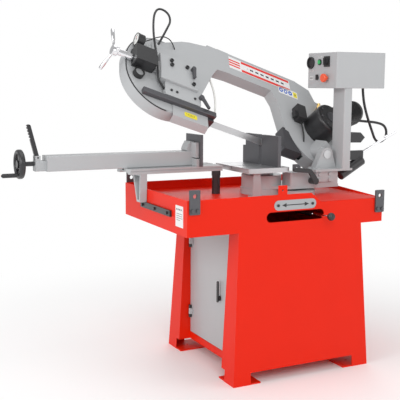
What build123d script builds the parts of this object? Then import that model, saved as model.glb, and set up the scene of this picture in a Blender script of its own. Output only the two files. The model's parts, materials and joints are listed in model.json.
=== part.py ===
from build123d import *
from math import cos, radians, sin, tan, pi
import os

os.makedirs("parts", exist_ok=True)

# Metal-cutting band saw with a swinging bow, in millimetres.
# +X runs along the blade from the free end of the bow to its pivot, +Y runs away from the
# operator and +Z is up.  The origin is on the floor under the middle of the stand.

# ---------------------------------------------------------------- driving dimensions
sheet = 3.0                     # wall of the stand and of the tray
stand_w, stand_d = 694.0, 657.0          # footprint of the stand
stand_top_w, stand_top_d = 624.0, 594.0  # the stand tapers to this
stand_h = 650.0
foot_w, foot_h = 84.0, 52.0     # the legs below the panels
foot_plate_t = 6.0
anchor_x, anchor_y, anchor_r = 560.0, 520.0, 7.0

door_x = -285.0                 # outer face of the recessed door
door_d, door_z0, door_z1 = 424.0, 88.0, 630.0
door_t, door_gap = 16.0, 2.0
latch_y, latch_z = -88.0, 322.0

tray_x0, tray_x1 = -550.0, 428.0
tray_y0, tray_y1 = -297.0, 372.0
tray_h, tray_low = 150.0, 107.0          # high and low rim above the stand
tray_floor_z = 758.0            # top of the tray floor
slot_x0, slot_x1, slot_z0, slot_z1 = -180.0, 110.0, 684.0, 727.0

table_z = 890.0                 # work surface
blade_y = 65.0                  # plane of the cut
mitre_x = 8.0                   # mitre axis, in the plane of the cut
drum_r = 97.0
quadrant_r, quadrant_t = 250.0, 20.0
arm_z0, arm_z1, rib_z1 = 786.0, 800.0, 862.0   # the swivel arm and its front rib
jaw_t, jaw_top = 16.0, 1030.0
jaw_gap = 25.0                  # between the two fixed jaws, where the blade passes

bed_x0, bed_x1 = -631.0, -177.0
bed_y0, bed_y1, bed_t = 103.0, 265.0, 24.0
bed_travel = 90.0               # the vise slides towards the operator by this much
beam_x0, beam_y0, beam_y1, beam_h = -985.0, 152.0, 232.0, 66.0
moving_jaw_x = -283.0
jaw_y0, jaw_y1 = 92.0, 241.0    # the two facing jaws behind the blade
wheel_r = 62.0                  # handwheel of the vise

pivot_x, pivot_z = 300.0, 936.0
bow_angle = 18.6                # the bow at rest, above level
lean = 40.0                     # the band wheels lean back from upright
band_r = 170.0                  # radius of the blade on its wheels
band_w, band_t = 27.0, 0.9
blade_drop = 37.0               # blade below the pivot, square to the bow
drive_u = 38.0                  # drive wheel from the pivot, along the blade
wheel_base = 865.0
housing_r, housing_wall = 193.0, 4.0
housing_v = -30.0               # the housings sit a little below their wheels

gap = 0.4                       # between pieces that move past each other
fit = 0.05                      # radial clearance of a shaft in its hole

# ---------------------------------------------------------------- frames of the bow
phi, alpha = radians(bow_angle), radians(lean)
along = Vector(cos(phi), 0, -sin(phi))
square_up = Vector(sin(phi), 0, cos(phi))
up_back = square_up * cos(alpha) + Vector(0, 1, 0) * sin(alpha)
front = along.cross(up_back)
pivot = Vector(pivot_x, 0, pivot_z)
drive_centre = (pivot + along * drive_u + square_up * (band_r * cos(alpha) - blade_drop)
                + Vector(0, blade_y + band_r * sin(alpha), 0))
# u along the blade, v up and back in the wheels' plane, w out to the front; zero at the drive wheel
bow = Plane(origin=drive_centre, x_dir=along, z_dir=front)
idler_u = -wheel_base
shaft_r = 15.0


def save(part, label):
    part.label = label
    export_step(part, "parts/" + label + ".step")
    print(f"{label:22s} solids {len(part.solids()):2d} volume {part.volume / 1000:9.1f} cm3 valid {part.is_valid}")


# ================================================================ stand and tray
half_w, half_d = stand_w / 2, stand_d / 2
top_w, top_d = stand_top_w / 2, stand_top_d / 2
recess_d = door_d + 2 * door_gap
with BuildPart() as stand_frame:
    with BuildSketch():
        Rectangle(stand_w, stand_d)
    with BuildSketch(Plane.XY.offset(stand_h)):
        Rectangle(stand_top_w, stand_top_d)
    loft()
    # the main hollow, behind the plane of the door
    wall_x = door_x + sheet
    with BuildSketch(Plane.XY):
        with Locations(((wall_x + half_w - sheet) / 2, 0)):
            Rectangle(half_w - sheet - wall_x, stand_d - 2 * sheet)
    with BuildSketch(Plane.XY.offset(stand_h)):
        with Locations(((wall_x + top_w - sheet) / 2, 0)):
            Rectangle(top_w - sheet - wall_x, stand_top_d - 2 * sheet)
    loft(mode=Mode.SUBTRACT)
    # the two legs at the door side are folded boxes
    for side in (-1, 1):
        inner_y = recess_d / 2 + sheet
        with BuildSketch(Plane.XY):
            with Locations(((wall_x - half_w + sheet) / 2, side * (inner_y + half_d - sheet) / 2)):
                Rectangle(wall_x + half_w - sheet, half_d - sheet - inner_y)
        with BuildSketch(Plane.XY.offset(stand_h)):
            with Locations(((wall_x - top_w + sheet) / 2, side * (inner_y + top_d - sheet) / 2)):
                Rectangle(wall_x + top_w - sheet, top_d - sheet - inner_y)
        loft(mode=Mode.SUBTRACT)
    # recess in front of the door, then the doorway
    with Locations((door_x - 100, 0, (door_z1 + 6) / 2)):
        Box(200, recess_d, door_z1 + 6, mode=Mode.SUBTRACT)
    with Locations((door_x, 0, (door_z0 + door_z1) / 2)):
        Box(40, recess_d, door_z1 - door_z0 + 2 * door_gap, mode=Mode.SUBTRACT)
    # the panels end above the floor between the legs
    with Locations((0, 0, foot_h / 2)):
        Box(stand_w - 2 * foot_w, stand_d + 10, foot_h, mode=Mode.SUBTRACT)
        Box(stand_w + 10, stand_d - 2 * foot_w, foot_h, mode=Mode.SUBTRACT)
    # base plates with an anchor hole in each foot
    with BuildSketch():
        with GridLocations(anchor_x, anchor_y, 2, 2):
            Rectangle(stand_w - anchor_x - sheet, stand_d - anchor_y - sheet)
    extrude(amount=foot_plate_t)
    with BuildSketch():
        with GridLocations(anchor_x, anchor_y, 2, 2):
            Circle(anchor_r)
    extrude(amount=foot_plate_t, mode=Mode.SUBTRACT)
    # top rails that carry the tray
    with BuildSketch(Plane.XY.offset(stand_h - 5)):
        Rectangle(stand_top_w, stand_top_d)
        Rectangle(stand_top_w - 130, stand_top_d - 130, mode=Mode.SUBTRACT)
    extrude(amount=5)
    # cabinet floor
    shelf_z = door_z0 - 8
    shelf_x0 = door_x + sheet
    shelf_x1 = half_w - (half_w - top_w) * shelf_z / stand_h - sheet / 2
    shelf_d = 2 * (half_d - (half_d - top_d) * shelf_z / stand_h) - sheet
    with Locations(((shelf_x0 + shelf_x1) / 2, 0, shelf_z)):
        Box(shelf_x1 - shelf_x0, shelf_d, sheet)
save(stand_frame.part, "stand_frame")

with BuildPart() as cabinet_door:
    with Locations((door_x + door_t / 2, 0, (door_z0 + door_z1) / 2)):
        Box(door_t, door_d, door_z1 - door_z0)
    fillet(cabinet_door.edges().filter_by(Axis.X), 3)
    hollow_t = door_t - 1.5
    with Locations((door_x + door_t - hollow_t / 2, 0, (door_z0 + door_z1) / 2)):
        Box(hollow_t, door_d - 3, door_z1 - door_z0 - 3, mode=Mode.SUBTRACT)
    # hole for the latch spindle
    latch_plane = Plane(origin=(door_x, latch_y, latch_z), x_dir=(0, -1, 0), z_dir=(-1, 0, 0))
    with BuildSketch(latch_plane):
        Circle(6 + fit)
    extrude(amount=-door_t, mode=Mode.SUBTRACT)

hinge_z = (190.0, 530.0)
hinge_y = door_d / 2 + door_gap - 4
with BuildPart() as hinge_pins:
    # two pins that stand out in front of the door's back edge
    for z in hinge_z:
        with BuildSketch(Plane((door_x - 7, hinge_y - 8, z - 30))):
            Circle(4)
        extrude(amount=60)

with BuildPart() as hinge_leaves:
    # frame-side knuckles with their tabs on the leg
    for z in hinge_z:
        for end in (-1, 1):
            with BuildSketch(Plane((door_x - 7, hinge_y - 8, z + end * 22 - 7))):
                Circle(6.5)
                with Locations((0, 6)):
                    Rectangle(4, 12)
                Circle(4, mode=Mode.SUBTRACT)
            extrude(amount=14)
save(hinge_pins.part + hinge_leaves.part, "door_hinges")

with BuildPart() as door_knuckles:
    for z in hinge_z:
        with BuildSketch(Plane((door_x - 7, hinge_y - 8, z - 14))):
            Circle(6.5)
            with Locations((4, -9)):
                Rectangle(4, 18)
            with Locations((3.5, 0)):
                Rectangle(7, 8)
            Circle(4 + fit, mode=Mode.SUBTRACT)
        extrude(amount=28)
    # the tabs stop at the door's outer face
    with Locations((door_x + 10, 0, 360)):
        Box(20, 500, 600, mode=Mode.SUBTRACT)
save(cabinet_door.part + door_knuckles.part, "cabinet_door")

with BuildPart() as door_latch:
    with BuildSketch(latch_plane.offset(-door_t - 8)):
        Circle(6)
    extrude(amount=door_t + 18)
    with BuildSketch(latch_plane.offset(2)):
        Circle(11)
    extrude(amount=8)
    # slim lever that points up, and the cam behind the door
    with BuildSketch(latch_plane.offset(10)):
        with Locations((0, 30)):
            SlotOverall(96, 11, rotation=90)
    extrude(amount=7)
    with BuildSketch(latch_plane.offset(-door_t - 8)):
        with Locations((0, -12)):
            SlotOverall(44, 14, rotation=90)
    extrude(amount=4)
save(door_latch.part, "door_latch")

tray_w, tray_d = tray_x1 - tray_x0, tray_y1 - tray_y0
tray_cx, tray_cy = (tray_x0 + tray_x1) / 2, (tray_y0 + tray_y1) / 2
step_x0, step_x1 = 41.0, 96.0
with BuildPart() as drip_tray:
    with BuildSketch(Plane.XY.offset(stand_h)):
        with Locations((tray_cx, tray_cy)):
            Rectangle(tray_w, tray_d)
            Rectangle(tray_w - 2 * sheet, tray_d - 2 * sheet, mode=Mode.SUBTRACT)
    extrude(amount=tray_h)
    with Locations((tray_cx, tray_cy, tray_floor_z - sheet / 2)):
        Box(tray_w, tray_d, sheet)
    # the rim steps down at the right-hand front
    with BuildSketch(Plane.XZ.offset(-tray_y0 + 1)):
        with BuildLine():
            Polyline((step_x0, stand_h + tray_h + 1), (step_x1, stand_h + tray_low),
                     (tray_x1 + 1, stand_h + tray_low), (tray_x1 + 1, stand_h + tray_h + 1), close=True)
        make_face()
    extrude(amount=-2 * sheet, mode=Mode.SUBTRACT)
    with BuildSketch(Plane.YZ.offset(tray_x1 - 2 * sheet)):
        with BuildLine():
            Polyline((tray_y0 - 1, stand_h + tray_low), (tray_y1 - 40, stand_h + tray_h - 14),
                     (tray_y1 - sheet, stand_h + tray_h + 1), (tray_y0 - 1, stand_h + tray_h + 1), close=True)
        make_face()
    extrude(amount=3 * sheet, mode=Mode.SUBTRACT)
    # slot for the table lock lever
    with BuildSketch(Plane.XZ.offset(-tray_y0 + 1)):
        with Locations(((slot_x0 + slot_x1) / 2, (slot_z0 + slot_z1) / 2)):
            SlotOverall(slot_x1 - slot_x0, slot_z1 - slot_z0)
    extrude(amount=-3 * sheet, mode=Mode.SUBTRACT)
    # return flange under the rim, which the stand carries
    with BuildSketch(Plane.XY.offset(stand_h)):
        with Locations((tray_cx, tray_cy)):
            Rectangle(tray_w, tray_d)
        Rectangle(stand_top_w - 130, stand_top_d - 130, mode=Mode.SUBTRACT)
        with Locations((tray_cx, tray_cy)):
            Rectangle(tray_w - 60, tray_d - 60, mode=Mode.SUBTRACT)
    extrude(amount=sheet)
    # upturned tab at the front
    with BuildSketch(Plane.XZ.offset(-tray_y0 - sheet)):
        with Locations((-102, stand_h + tray_h + 18)):
            Rectangle(44, 42)
            Circle(4, mode=Mode.SUBTRACT)
    extrude(amount=sheet)

bearer_x, bearer_w, bearer_y0, bearer_y1 = 262.0, 46.0, -265.0, 292.0
bearer_h = tray_floor_z - sheet - stand_h
with BuildPart() as tray_bearers:
    # square tubes between the stand's top rails and the floor of the tray
    for side in (-1, 1):
        with BuildSketch(Plane.XZ.offset(-bearer_y0)):
            with Locations((side * bearer_x, stand_h + bearer_h / 2)):
                Rectangle(bearer_w, bearer_h)
                Rectangle(bearer_w - 8, bearer_h - 8, mode=Mode.SUBTRACT)
        extrude(amount=bearer_y0 - bearer_y1)

# lifting lugs at the four corners, outside the front and back walls
lug_w, lug_h, lug_t, lug_hole = 47.0, 100.0, 8.0, 9.0
lugs = ((tray_x0 + lug_w / 2 + 8, 742.0, -1), (tray_x1 - lug_w / 2 + 4, 693.0, -1),
        (tray_x0 + lug_w / 2 + 8, 748.0, 1), (tray_x1 - lug_w / 2 + 4, 748.0, 1))
with BuildPart() as lifting_lugs:
    for x, z, side in lugs:
        wall = tray_y0 if side < 0 else tray_y1
        with BuildSketch(Plane(origin=(x, wall, z + lug_h / 2), x_dir=(1, 0, 0), z_dir=(0, side, 0))):
            RectangleRounded(lug_w, lug_h, 4)
            with Locations((0, -side * (lug_h / 2 - 25))):
                Circle(lug_hole, mode=Mode.SUBTRACT)
        extrude(amount=lug_t)

with BuildPart() as lug_bolts:
    for x, z, side in lugs:
        wall = tray_y0 if side < 0 else tray_y1
        face = Plane(origin=(x, wall + side * lug_t, z + 16), x_dir=(1, 0, 0), z_dir=(0, side, 0))
        with BuildSketch(face):
            with GridLocations(24, 0, 2, 1):
                RegularPolygon(8, 6)
        extrude(amount=6)
save(lifting_lugs.part + lug_bolts.part, "lifting_lugs")

with BuildPart() as direction_plate:
    plate_w, plate_h = 211.0, 43.0
    plate_at = Plane(origin=(-38.5, tray_y0, 754.5), x_dir=(1, 0, 0), z_dir=(0, -1, 0))
    with BuildSketch(plate_at):
        SlotOverall(plate_w, plate_h)
        with GridLocations(plate_w - 38, 0, 2, 1):
            Circle(3, mode=Mode.SUBTRACT)
    extrude(amount=2)
    # raised double arrow
    with BuildSketch(plate_at.offset(2)):
        Rectangle(100, 4)
        for side in (-1, 1):
            with BuildLine():
                Polyline((side * 68, 0), (side * 46, 9), (side * 46, -9), close=True)
            make_face()
    extrude(amount=0.6)

with BuildPart() as plate_screws:
    with BuildSketch(plate_at.offset(2)):
        with GridLocations(plate_w - 38, 0, 2, 1):
            RegularPolygon(6.5, 6)
    extrude(amount=4)
    with BuildSketch(plate_at.offset(2)):
        with GridLocations(plate_w - 38, 0, 2, 1):
            Circle(3 - fit)
    extrude(amount=-2)
save(direction_plate.part + plate_screws.part, "direction_plate")

# slotted bar on the left wall, which the foot of the vise bed runs on
bar_y0, bar_y1, bar_z = -150.0, 165.0, 728.0
with BuildPart() as guide_bar:
    bar_at = Plane(origin=(tray_x0, (bar_y0 + bar_y1) / 2, bar_z), x_dir=(0, -1, 0), z_dir=(-1, 0, 0))
    with BuildSketch(bar_at):
        Rectangle(bar_y1 - bar_y0, 26)
    extrude(amount=10)
    with BuildSketch(bar_at.offset(10)):
        with GridLocations(130, 0, 3, 1):
            RegularPolygon(7, 6)
    extrude(amount=6)
save(drip_tray.part + tray_bearers.part + guide_bar.part, "drip_tray")

# ================================================================ table and turntable base
axis_at = Plane((mitre_x, blade_y, 0))
with BuildPart() as base_drum:
    with BuildSketch(axis_at.offset(tray_floor_z)):
        Circle(drum_r)
    extrude(amount=arm_z0 - tray_floor_z - gap)
    # quadrant plate that the swivel arm swings over
    with BuildSketch(axis_at.offset(tray_floor_z)):
        with BuildLine():
            edge = quadrant_r
            a0, a1 = radians(-62), radians(62)
            Line((0, 0), (edge * cos(a0), edge * sin(a0)))
            ThreePointArc((edge * cos(a0), edge * sin(a0)), (edge, 0), (edge * cos(a1), edge * sin(a1)))
            Line((edge * cos(a1), edge * sin(a1)), (0, 0))
        make_face()
    extrude(amount=quadrant_t)
    # spindle through the swivel arm, which carries the fixed table
    spindle_r = 55.0
    with BuildSketch(axis_at.offset(arm_z0 - gap - 1)):
        Circle(spindle_r)
    extrude(amount=table_z - 22 - arm_z0 + gap + 1)
    with BuildSketch(axis_at.offset(tray_floor_z)):
        Circle(22)
    extrude(amount=table_z - 22 - tray_floor_z, mode=Mode.SUBTRACT)

table_x0, table_x1, table_y0, table_y1 = -150.0, 62.0, -92.0, 226.0
with BuildPart() as table:
    with BuildSketch(Plane.XY.offset(table_z - 22)):
        with Locations(((table_x0 + table_x1) / 2, (table_y0 + table_y1) / 2)):
            RectangleRounded(table_x1 - table_x0, table_y1 - table_y0, 6)
    extrude(amount=22)
    # the kerf opens into a fan so that the blade can swing to its mitre angles
    with BuildSketch(Plane.XY.offset(table_z)):
        with Locations((table_x0 / 2 - 5, blade_y)):
            Rectangle(-table_x0 + 10, 7)
        with BuildLine():
            reach = 120.0
            Polyline((mitre_x + 5, blade_y - 4), (mitre_x + reach, blade_y - reach),
                     (mitre_x + reach, blade_y + reach), (mitre_x + 5, blade_y + 4), close=True)
        make_face()
        with Locations((mitre_x, blade_y)):
            Rectangle(30, 8)
    extrude(amount=-14, mode=Mode.SUBTRACT)
save(table.part, "table")

with BuildPart() as table_bracket:
    # tapered support under the table's front corner
    with BuildSketch(Plane.XZ.offset(-(table_y0 + 26))):
        with BuildLine():
            Polyline((-118, tray_floor_z), (-70, tray_floor_z), (-80, table_z - 22), (-112, table_z - 22), close=True)
        make_face()
    extrude(amount=8)
    with Locations((-94, table_y0 + 40, tray_floor_z + 3)):
        Box(48, 40, 6)
    with Locations((-94, table_y0 + 40, table_z - 22 - 3)):
        Box(32, 40, 6)
save(base_drum.part + table_bracket.part, "base_drum")

# fixed jaws either side of the blade
front_jaw = (table_y0 + 2, blade_y - jaw_gap / 2)
back_jaw = (blade_y + jaw_gap / 2, 201.0)
with BuildPart() as jaw_plate_front:
    with BuildSketch(Plane.YZ):
        with Locations(((front_jaw[0] + front_jaw[1]) / 2, (table_z + jaw_top) / 2)):
            Rectangle(front_jaw[1] - front_jaw[0], jaw_top - table_z)
    extrude(amount=jaw_t)

with BuildPart() as jaw_plate_back:
    with BuildSketch(Plane.YZ):
        with BuildLine():
            Polyline((back_jaw[0], table_z), (226, table_z), (226, table_z + 82), (back_jaw[1], table_z + 82),
                     (back_jaw[1], jaw_top), (back_jaw[0], jaw_top), close=True)
        make_face()
    extrude(amount=jaw_t)
save(jaw_plate_front.part + jaw_plate_back.part, "fixed_jaws")

with BuildPart() as jaw_blocks:
    # cast backings, relieved so that the blade can swing past them
    reach = 103.0
    for side, y in ((-1, front_jaw[1]), (1, back_jaw[0])):
        y0, y1, y2 = blade_y + side * reach, y + side * 20, y + side * 46
        with BuildSketch(Plane.XY.offset(table_z)):
            with BuildLine():
                Polyline((jaw_t, y0), (jaw_t, y1), (jaw_t + 30, y2), (jaw_t + 30, y0), close=True)
            make_face()
        extrude(amount=jaw_top - table_z - 8)
    chamfer(jaw_blocks.edges().filter_by(Axis.Y).sort_by(Axis.Z)[-4:].sort_by(Axis.X)[-2:], 22)
save(jaw_blocks.part, "jaw_blocks")

# ================================================================ vise
bed_z1 = table_z
with BuildPart() as vise_bed:
    with BuildSketch(Plane.YZ.offset(bed_x0)):
        with BuildLine():
            Polyline((bed_y0, bed_z1), (bed_y1, bed_z1), (bed_y1, bed_z1 - bed_t), (bed_y1 - 30, bed_z1 - bed_t),
                     (bed_y1 - 40, bed_z1 - bed_t + 8), (bed_y0 + 40, bed_z1 - bed_t + 8),
                     (bed_y0 + 30, bed_z1 - bed_t), (bed_y0, bed_z1 - bed_t), close=True)
        make_face()
    extrude(amount=bed_x1 - bed_x0)
    # slot down the middle, which the key of the jaw beam slides in
    slot_y = (beam_y0 + beam_y1) / 2
    with Locations(((bed_x0 + bed_x1) / 2, slot_y, bed_z1 - 5)):
        Box(bed_x1 - bed_x0 + 2, 20, 10, mode=Mode.SUBTRACT)
    # groove along the front edge
    with Locations(((bed_x0 + bed_x1) / 2, bed_y0, bed_z1 - 11)):
        Box(bed_x1 - bed_x0 + 2, 6, 5, mode=Mode.SUBTRACT)

leg_x0, leg_x1 = tray_x0 - 34, tray_x0 - 2
with BuildPart() as bed_leg:
    with BuildSketch(Plane.YZ.offset(leg_x0)):
        with BuildLine():
            Polyline((112, bar_z + 13 + gap), (150, bar_z + 13 + gap), (196, bed_z1 - bed_t), (104, bed_z1 - bed_t), close=True)
        make_face()
    extrude(amount=leg_x1 - leg_x0)
    with BuildSketch(Plane.YZ.offset(leg_x0 - 1)):
        with BuildLine():
            Polyline((122, bar_z + 24), (142, bar_z + 24), (180, bed_z1 - bed_t - 8), (114, bed_z1 - bed_t - 8), close=True)
        make_face()
    extrude(amount=leg_x1 - leg_x0 - 7, mode=Mode.SUBTRACT)
save(vise_bed.part + bed_leg.part, "vise_bed")

support_x, support_y = bed_x1 - 22, bed_y0 + 22
with BuildPart() as bed_support:
    with BuildSketch(Plane((support_x, support_y, tray_floor_z + gap))):
        Circle(19)
    extrude(amount=84)

with BuildPart() as support_collar:
    with BuildSketch(Plane((support_x, support_y, tray_floor_z + gap + 84))):
        Circle(21)
    extrude(amount=bed_z1 - bed_t - 84 - tray_floor_z - gap)
save(bed_support.part + support_collar.part, "bed_support")

beam_z0 = table_z + gap
beam_x1 = moving_jaw_x - 14
beam_cy = (beam_y0 + beam_y1) / 2
nut_x = bed_x0 + 60
with BuildPart() as jaw_beam:
    with BuildSketch(Plane.YZ.offset(beam_x0)):
        with Locations((beam_cy, beam_z0 + beam_h / 2)):
            RectangleRounded(beam_y1 - beam_y0, beam_h, 5)
            Rectangle(beam_y1 - beam_y0 - 8, beam_h - 8, mode=Mode.SUBTRACT)
    extrude(amount=beam_x1 - beam_x0)
    # closed, rounded front end and the foot behind the jaw
    with Locations((beam_x0 + 5, beam_cy, beam_z0 + beam_h / 2)):
        Box(10, beam_y1 - beam_y0 - 6, beam_h - 6)
    with Locations((beam_x1 - 6, (jaw_y0 + jaw_y1) / 2, beam_z0 + 17)):
        Box(12, jaw_y1 - jaw_y0 - 20, 34)
    # slot in the underside for the neck of the half nut
    with Locations(((nut_x - 300 + beam_x1 - 40) / 2, beam_cy, beam_z0 + 2)):
        Box(beam_x1 - 40 - nut_x + 300, 16, 12, mode=Mode.SUBTRACT)
    # hole for the screw
    with BuildSketch(Plane.YZ.offset(beam_x0 - 1)):
        with Locations((beam_cy, beam_z0 + beam_h / 2)):
            Circle(10 + fit)
    extrude(amount=12, mode=Mode.SUBTRACT)

with BuildPart() as moving_jaw:
    with BuildSketch(Plane.YZ.offset(moving_jaw_x - 14)):
        with Locations(((jaw_y0 + jaw_y1) / 2, (beam_z0 + jaw_top + 3) / 2)):
            Rectangle(jaw_y1 - jaw_y0, jaw_top + 3 - beam_z0)
    extrude(amount=14)
save(moving_jaw.part, "moving_jaw")

with BuildPart() as jaw_gusset:
    # cast wedge that backs the moving jaw, standing on the beam
    with BuildSketch(Plane.XZ.offset(-(beam_y0 + 8))):
        with BuildLine():
            Polyline((beam_x1, beam_z0 + beam_h), (beam_x1 - 36, beam_z0 + beam_h), (beam_x1 - 30, beam_z0 + beam_h + 20),
                     (beam_x1 - 16, beam_z0 + beam_h + 44), (beam_x1, beam_z0 + beam_h + 44), close=True)
        make_face()
    extrude(amount=-(beam_y1 - beam_y0 - 16))
    with Locations((beam_x1 - 7, (jaw_y0 + jaw_y1) / 2, beam_z0 + beam_h / 2 + 40)):
        Box(14, jaw_y1 - jaw_y0 - 34, 68)
    fillet(jaw_gusset.edges().filter_by(Axis.Y).sort_by(Axis.X)[:2], 6)

screw_z = beam_z0 + beam_h / 2
with BuildPart() as screw_bearing:
    # bearing block on the end of the beam, with the notched lever's fork
    with BuildSketch(Plane.YZ.offset(beam_x0)):
        with Locations((beam_cy, screw_z - 10)):
            RectangleRounded(46, 44, 6)
        with Locations((beam_cy, screw_z)):
            Circle(10 + fit, mode=Mode.SUBTRACT)
    extrude(amount=-46)
    for side in (-1, 1):
        with Locations((beam_x0 - 34, beam_cy + side * 16, screw_z + 22)):
            Box(22, 8, 24)
    with BuildSketch(Plane.XZ.offset(-beam_cy - 40)):
        with Locations((beam_x0 - 34, screw_z + 26)):
            Circle(4)
    extrude(amount=80, mode=Mode.SUBTRACT)
save(jaw_beam.part + jaw_gusset.part + screw_bearing.part, "jaw_beam")

with BuildPart() as vise_screw:
    with BuildSketch(Plane.YZ.offset(beam_x0 - 120)):
        with Locations((beam_cy, screw_z)):
            Circle(10)
    extrude(amount=120 + 560)

with BuildPart() as screw_nut:
    # half nut under the beam, keyed in the slot of the bed
    with Locations((nut_x, beam_cy, screw_z)):
        Box(50, 34, 34)
    with Locations((nut_x, beam_cy, (bed_z1 - 10 + screw_z - 12) / 2)):
        Box(50, 14, screw_z - 12 - bed_z1 + 10)
    with BuildSketch(Plane.YZ.offset(bed_x0)):
        with Locations((beam_cy, screw_z)):
            Circle(10 + fit)
    extrude(amount=120, mode=Mode.SUBTRACT)
save(screw_nut.part, "screw_nut")

with BuildPart() as nut_lever:
    # notched lever that lifts the half nut clear of the screw
    lever_at = Plane(origin=(beam_x0 - 34, beam_cy, screw_z + 26), x_dir=(cos(radians(104)), 0, sin(radians(104))), z_dir=(0, -1, 0))
    with BuildSketch(lever_at.offset(-7)):
        with Locations((66, 0)):
            SlotOverall(156, 18)
        for i in range(5):
            with Locations((84 + i * 13, 10)):
                Rectangle(7, 8, rotation=25, mode=Mode.SUBTRACT)
    extrude(amount=14)
    with BuildSketch(lever_at.offset(-19)):
        Circle(4 - fit)
    extrude(amount=38)
save(nut_lever.part, "nut_lever")

wheel_x = beam_x0 - 108
with BuildPart() as handwheel:
    with BuildSketch(Plane.XZ.offset(-beam_cy)):
        with Locations((wheel_x, screw_z + wheel_r - 9)):
            SlotOverall(26, 18)
    revolve(axis=Axis((wheel_x, beam_cy, screw_z), (1, 0, 0)))
    with BuildSketch(Plane.YZ.offset(wheel_x - 4)):
        with Locations((beam_cy, screw_z)):
            Circle(20)
            for i in range(3):
                with Locations(Rotation(0, 0, 90 + i * 120)):
                    with Locations((wheel_r / 2, 0)):
                        Rectangle(wheel_r - 14, 15)
            Circle(10, mode=Mode.SUBTRACT)
    extrude(amount=8)
    with BuildSketch(Plane.YZ.offset(wheel_x - 12)):
        with Locations((beam_cy, screw_z)):
            Circle(17)
            Circle(10, mode=Mode.SUBTRACT)
    extrude(amount=34)

crank_r = wheel_r - 12
with BuildPart() as crank_pin:
    with BuildSketch(Plane.YZ.offset(wheel_x + 4)):
        with Locations((beam_cy - crank_r * 0.5, screw_z - crank_r * 0.866)):
            Circle(5)
    extrude(amount=-88)
save(vise_screw.part + handwheel.part + crank_pin.part, "vise_screw")

with BuildPart() as crank_grip:
    with BuildSketch(Plane.YZ.offset(wheel_x - 18)):
        with Locations((beam_cy - crank_r * 0.5, screw_z - crank_r * 0.866)):
            Circle(9)
            Circle(5 + fit, mode=Mode.SUBTRACT)
    extrude(amount=-62)
    fillet(crank_grip.edges().filter_by(GeomType.CIRCLE).group_by(Axis.X)[0].sort_by(SortBy.LENGTH)[-1:], 3)
save(crank_grip.part, "crank_grip")

# ================================================================ table lock, below the tray
lock_z = 700.0
lock_dx, lock_dy = 106 - mitre_x, -356 - blade_y
lock_len = (lock_dx ** 2 + lock_dy ** 2) ** 0.5
lock_dir = Vector(lock_dx / lock_len, lock_dy / lock_len, 0)
with BuildPart() as lock_spindle:
    with BuildSketch(axis_at.offset(lock_z - 24)):
        Circle(14)
    extrude(amount=tray_floor_z - sheet - gap - lock_z + 24)
    with BuildSketch(axis_at.offset(lock_z - 16)):
        Circle(24)
    extrude(amount=32)

with BuildPart() as lock_lever:
    lever_plane = Plane(origin=(mitre_x, blade_y, lock_z), x_dir=(0, 0, 1), z_dir=lock_dir)
    with BuildSketch(lever_plane.offset(23)):
        Circle(9)
    extrude(amount=330 - 23)
    with BuildSketch(lever_plane.offset(330)):
        Circle(6.5)
    extrude(amount=lock_len - 330 - 10)

with BuildPart() as lock_ball:
    with Locations((mitre_x + lock_dx, blade_y + lock_dy, lock_z)):
        Sphere(17.5)
    with BuildSketch(lever_plane.offset(330)):
        Circle(6.5)
    extrude(amount=lock_len - 330 - 10, mode=Mode.SUBTRACT)
save(lock_spindle.part + lock_lever.part + lock_ball.part, "lock_lever")

# ================================================================ swivel
rib_x0, rib_x1, rib_y0, rib_y1 = 80.0, 345.0, -75.0, 2.0
hub_r = 93.0
with BuildPart() as swivel_arm:
    with BuildSketch(axis_at.offset(arm_z0)):
        Circle(hub_r)
        with BuildLine():
            Polyline((40, 78), (212, 70), (212, rib_y1 - blade_y), (rib_x1 - mitre_x, rib_y1 - blade_y),
                     (rib_x1 - mitre_x, rib_y0 - blade_y), (rib_x0 - mitre_x, rib_y0 - blade_y), (-20, -85), close=True)
        make_face()
    extrude(amount=arm_z1 - arm_z0)
    with BuildSketch(axis_at.offset(arm_z0)):
        Circle(hub_r)
    extrude(amount=table_z - 22 - gap - arm_z0 - 22)
    with BuildSketch(Plane.XY.offset(arm_z0)):
        with Locations(((rib_x0 + rib_x1) / 2, (rib_y0 + rib_y1) / 2)):
            RectangleRounded(rib_x1 - rib_x0, rib_y1 - rib_y0, 8)
    extrude(amount=rib_z1 - arm_z0)
    with BuildSketch(axis_at.offset(arm_z0)):
        Circle(spindle_r + fit)
    extrude(amount=120, mode=Mode.SUBTRACT)
save(swivel_arm.part, "swivel_arm")

ear_y0, ear_y1, ear_r, pin_r, pin_end = -44.0, -6.0, 32.0, 20.0, 28.0
col_x0, col_x1, col_y0, col_y1 = 352.0, 396.0, -96.0, -6.0
plate_z1 = rib_z1 + 10
with BuildPart() as pivot_bracket:
    with BuildSketch(Plane.XY.offset(rib_z1)):
        with Locations((305, -50)):
            Rectangle(206, 92)
    extrude(amount=plate_z1 - rib_z1)
    with BuildSketch(Plane.XZ.offset(-ear_y1)):
        with Locations((pivot_x, pivot_z)):
            Circle(ear_r)
        with BuildLine():
            Polyline((pivot_x - ear_r - 34, plate_z1), (pivot_x - ear_r + 2, pivot_z + 10),
                     (pivot_x + ear_r, pivot_z), (col_x0, plate_z1), close=True)
        make_face()
        with Locations((pivot_x, pivot_z)):
            Circle(pin_r + fit, mode=Mode.SUBTRACT)
    extrude(amount=ear_y1 - ear_y0)
    # apron with the fixing holes down the front of the rib
    with BuildSketch(Plane.XZ.offset(-rib_y0)):
        with Locations((260, (814 + rib_z1 + 2) / 2)):
            Rectangle(92, rib_z1 + 2 - 814)
    extrude(amount=9)

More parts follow.
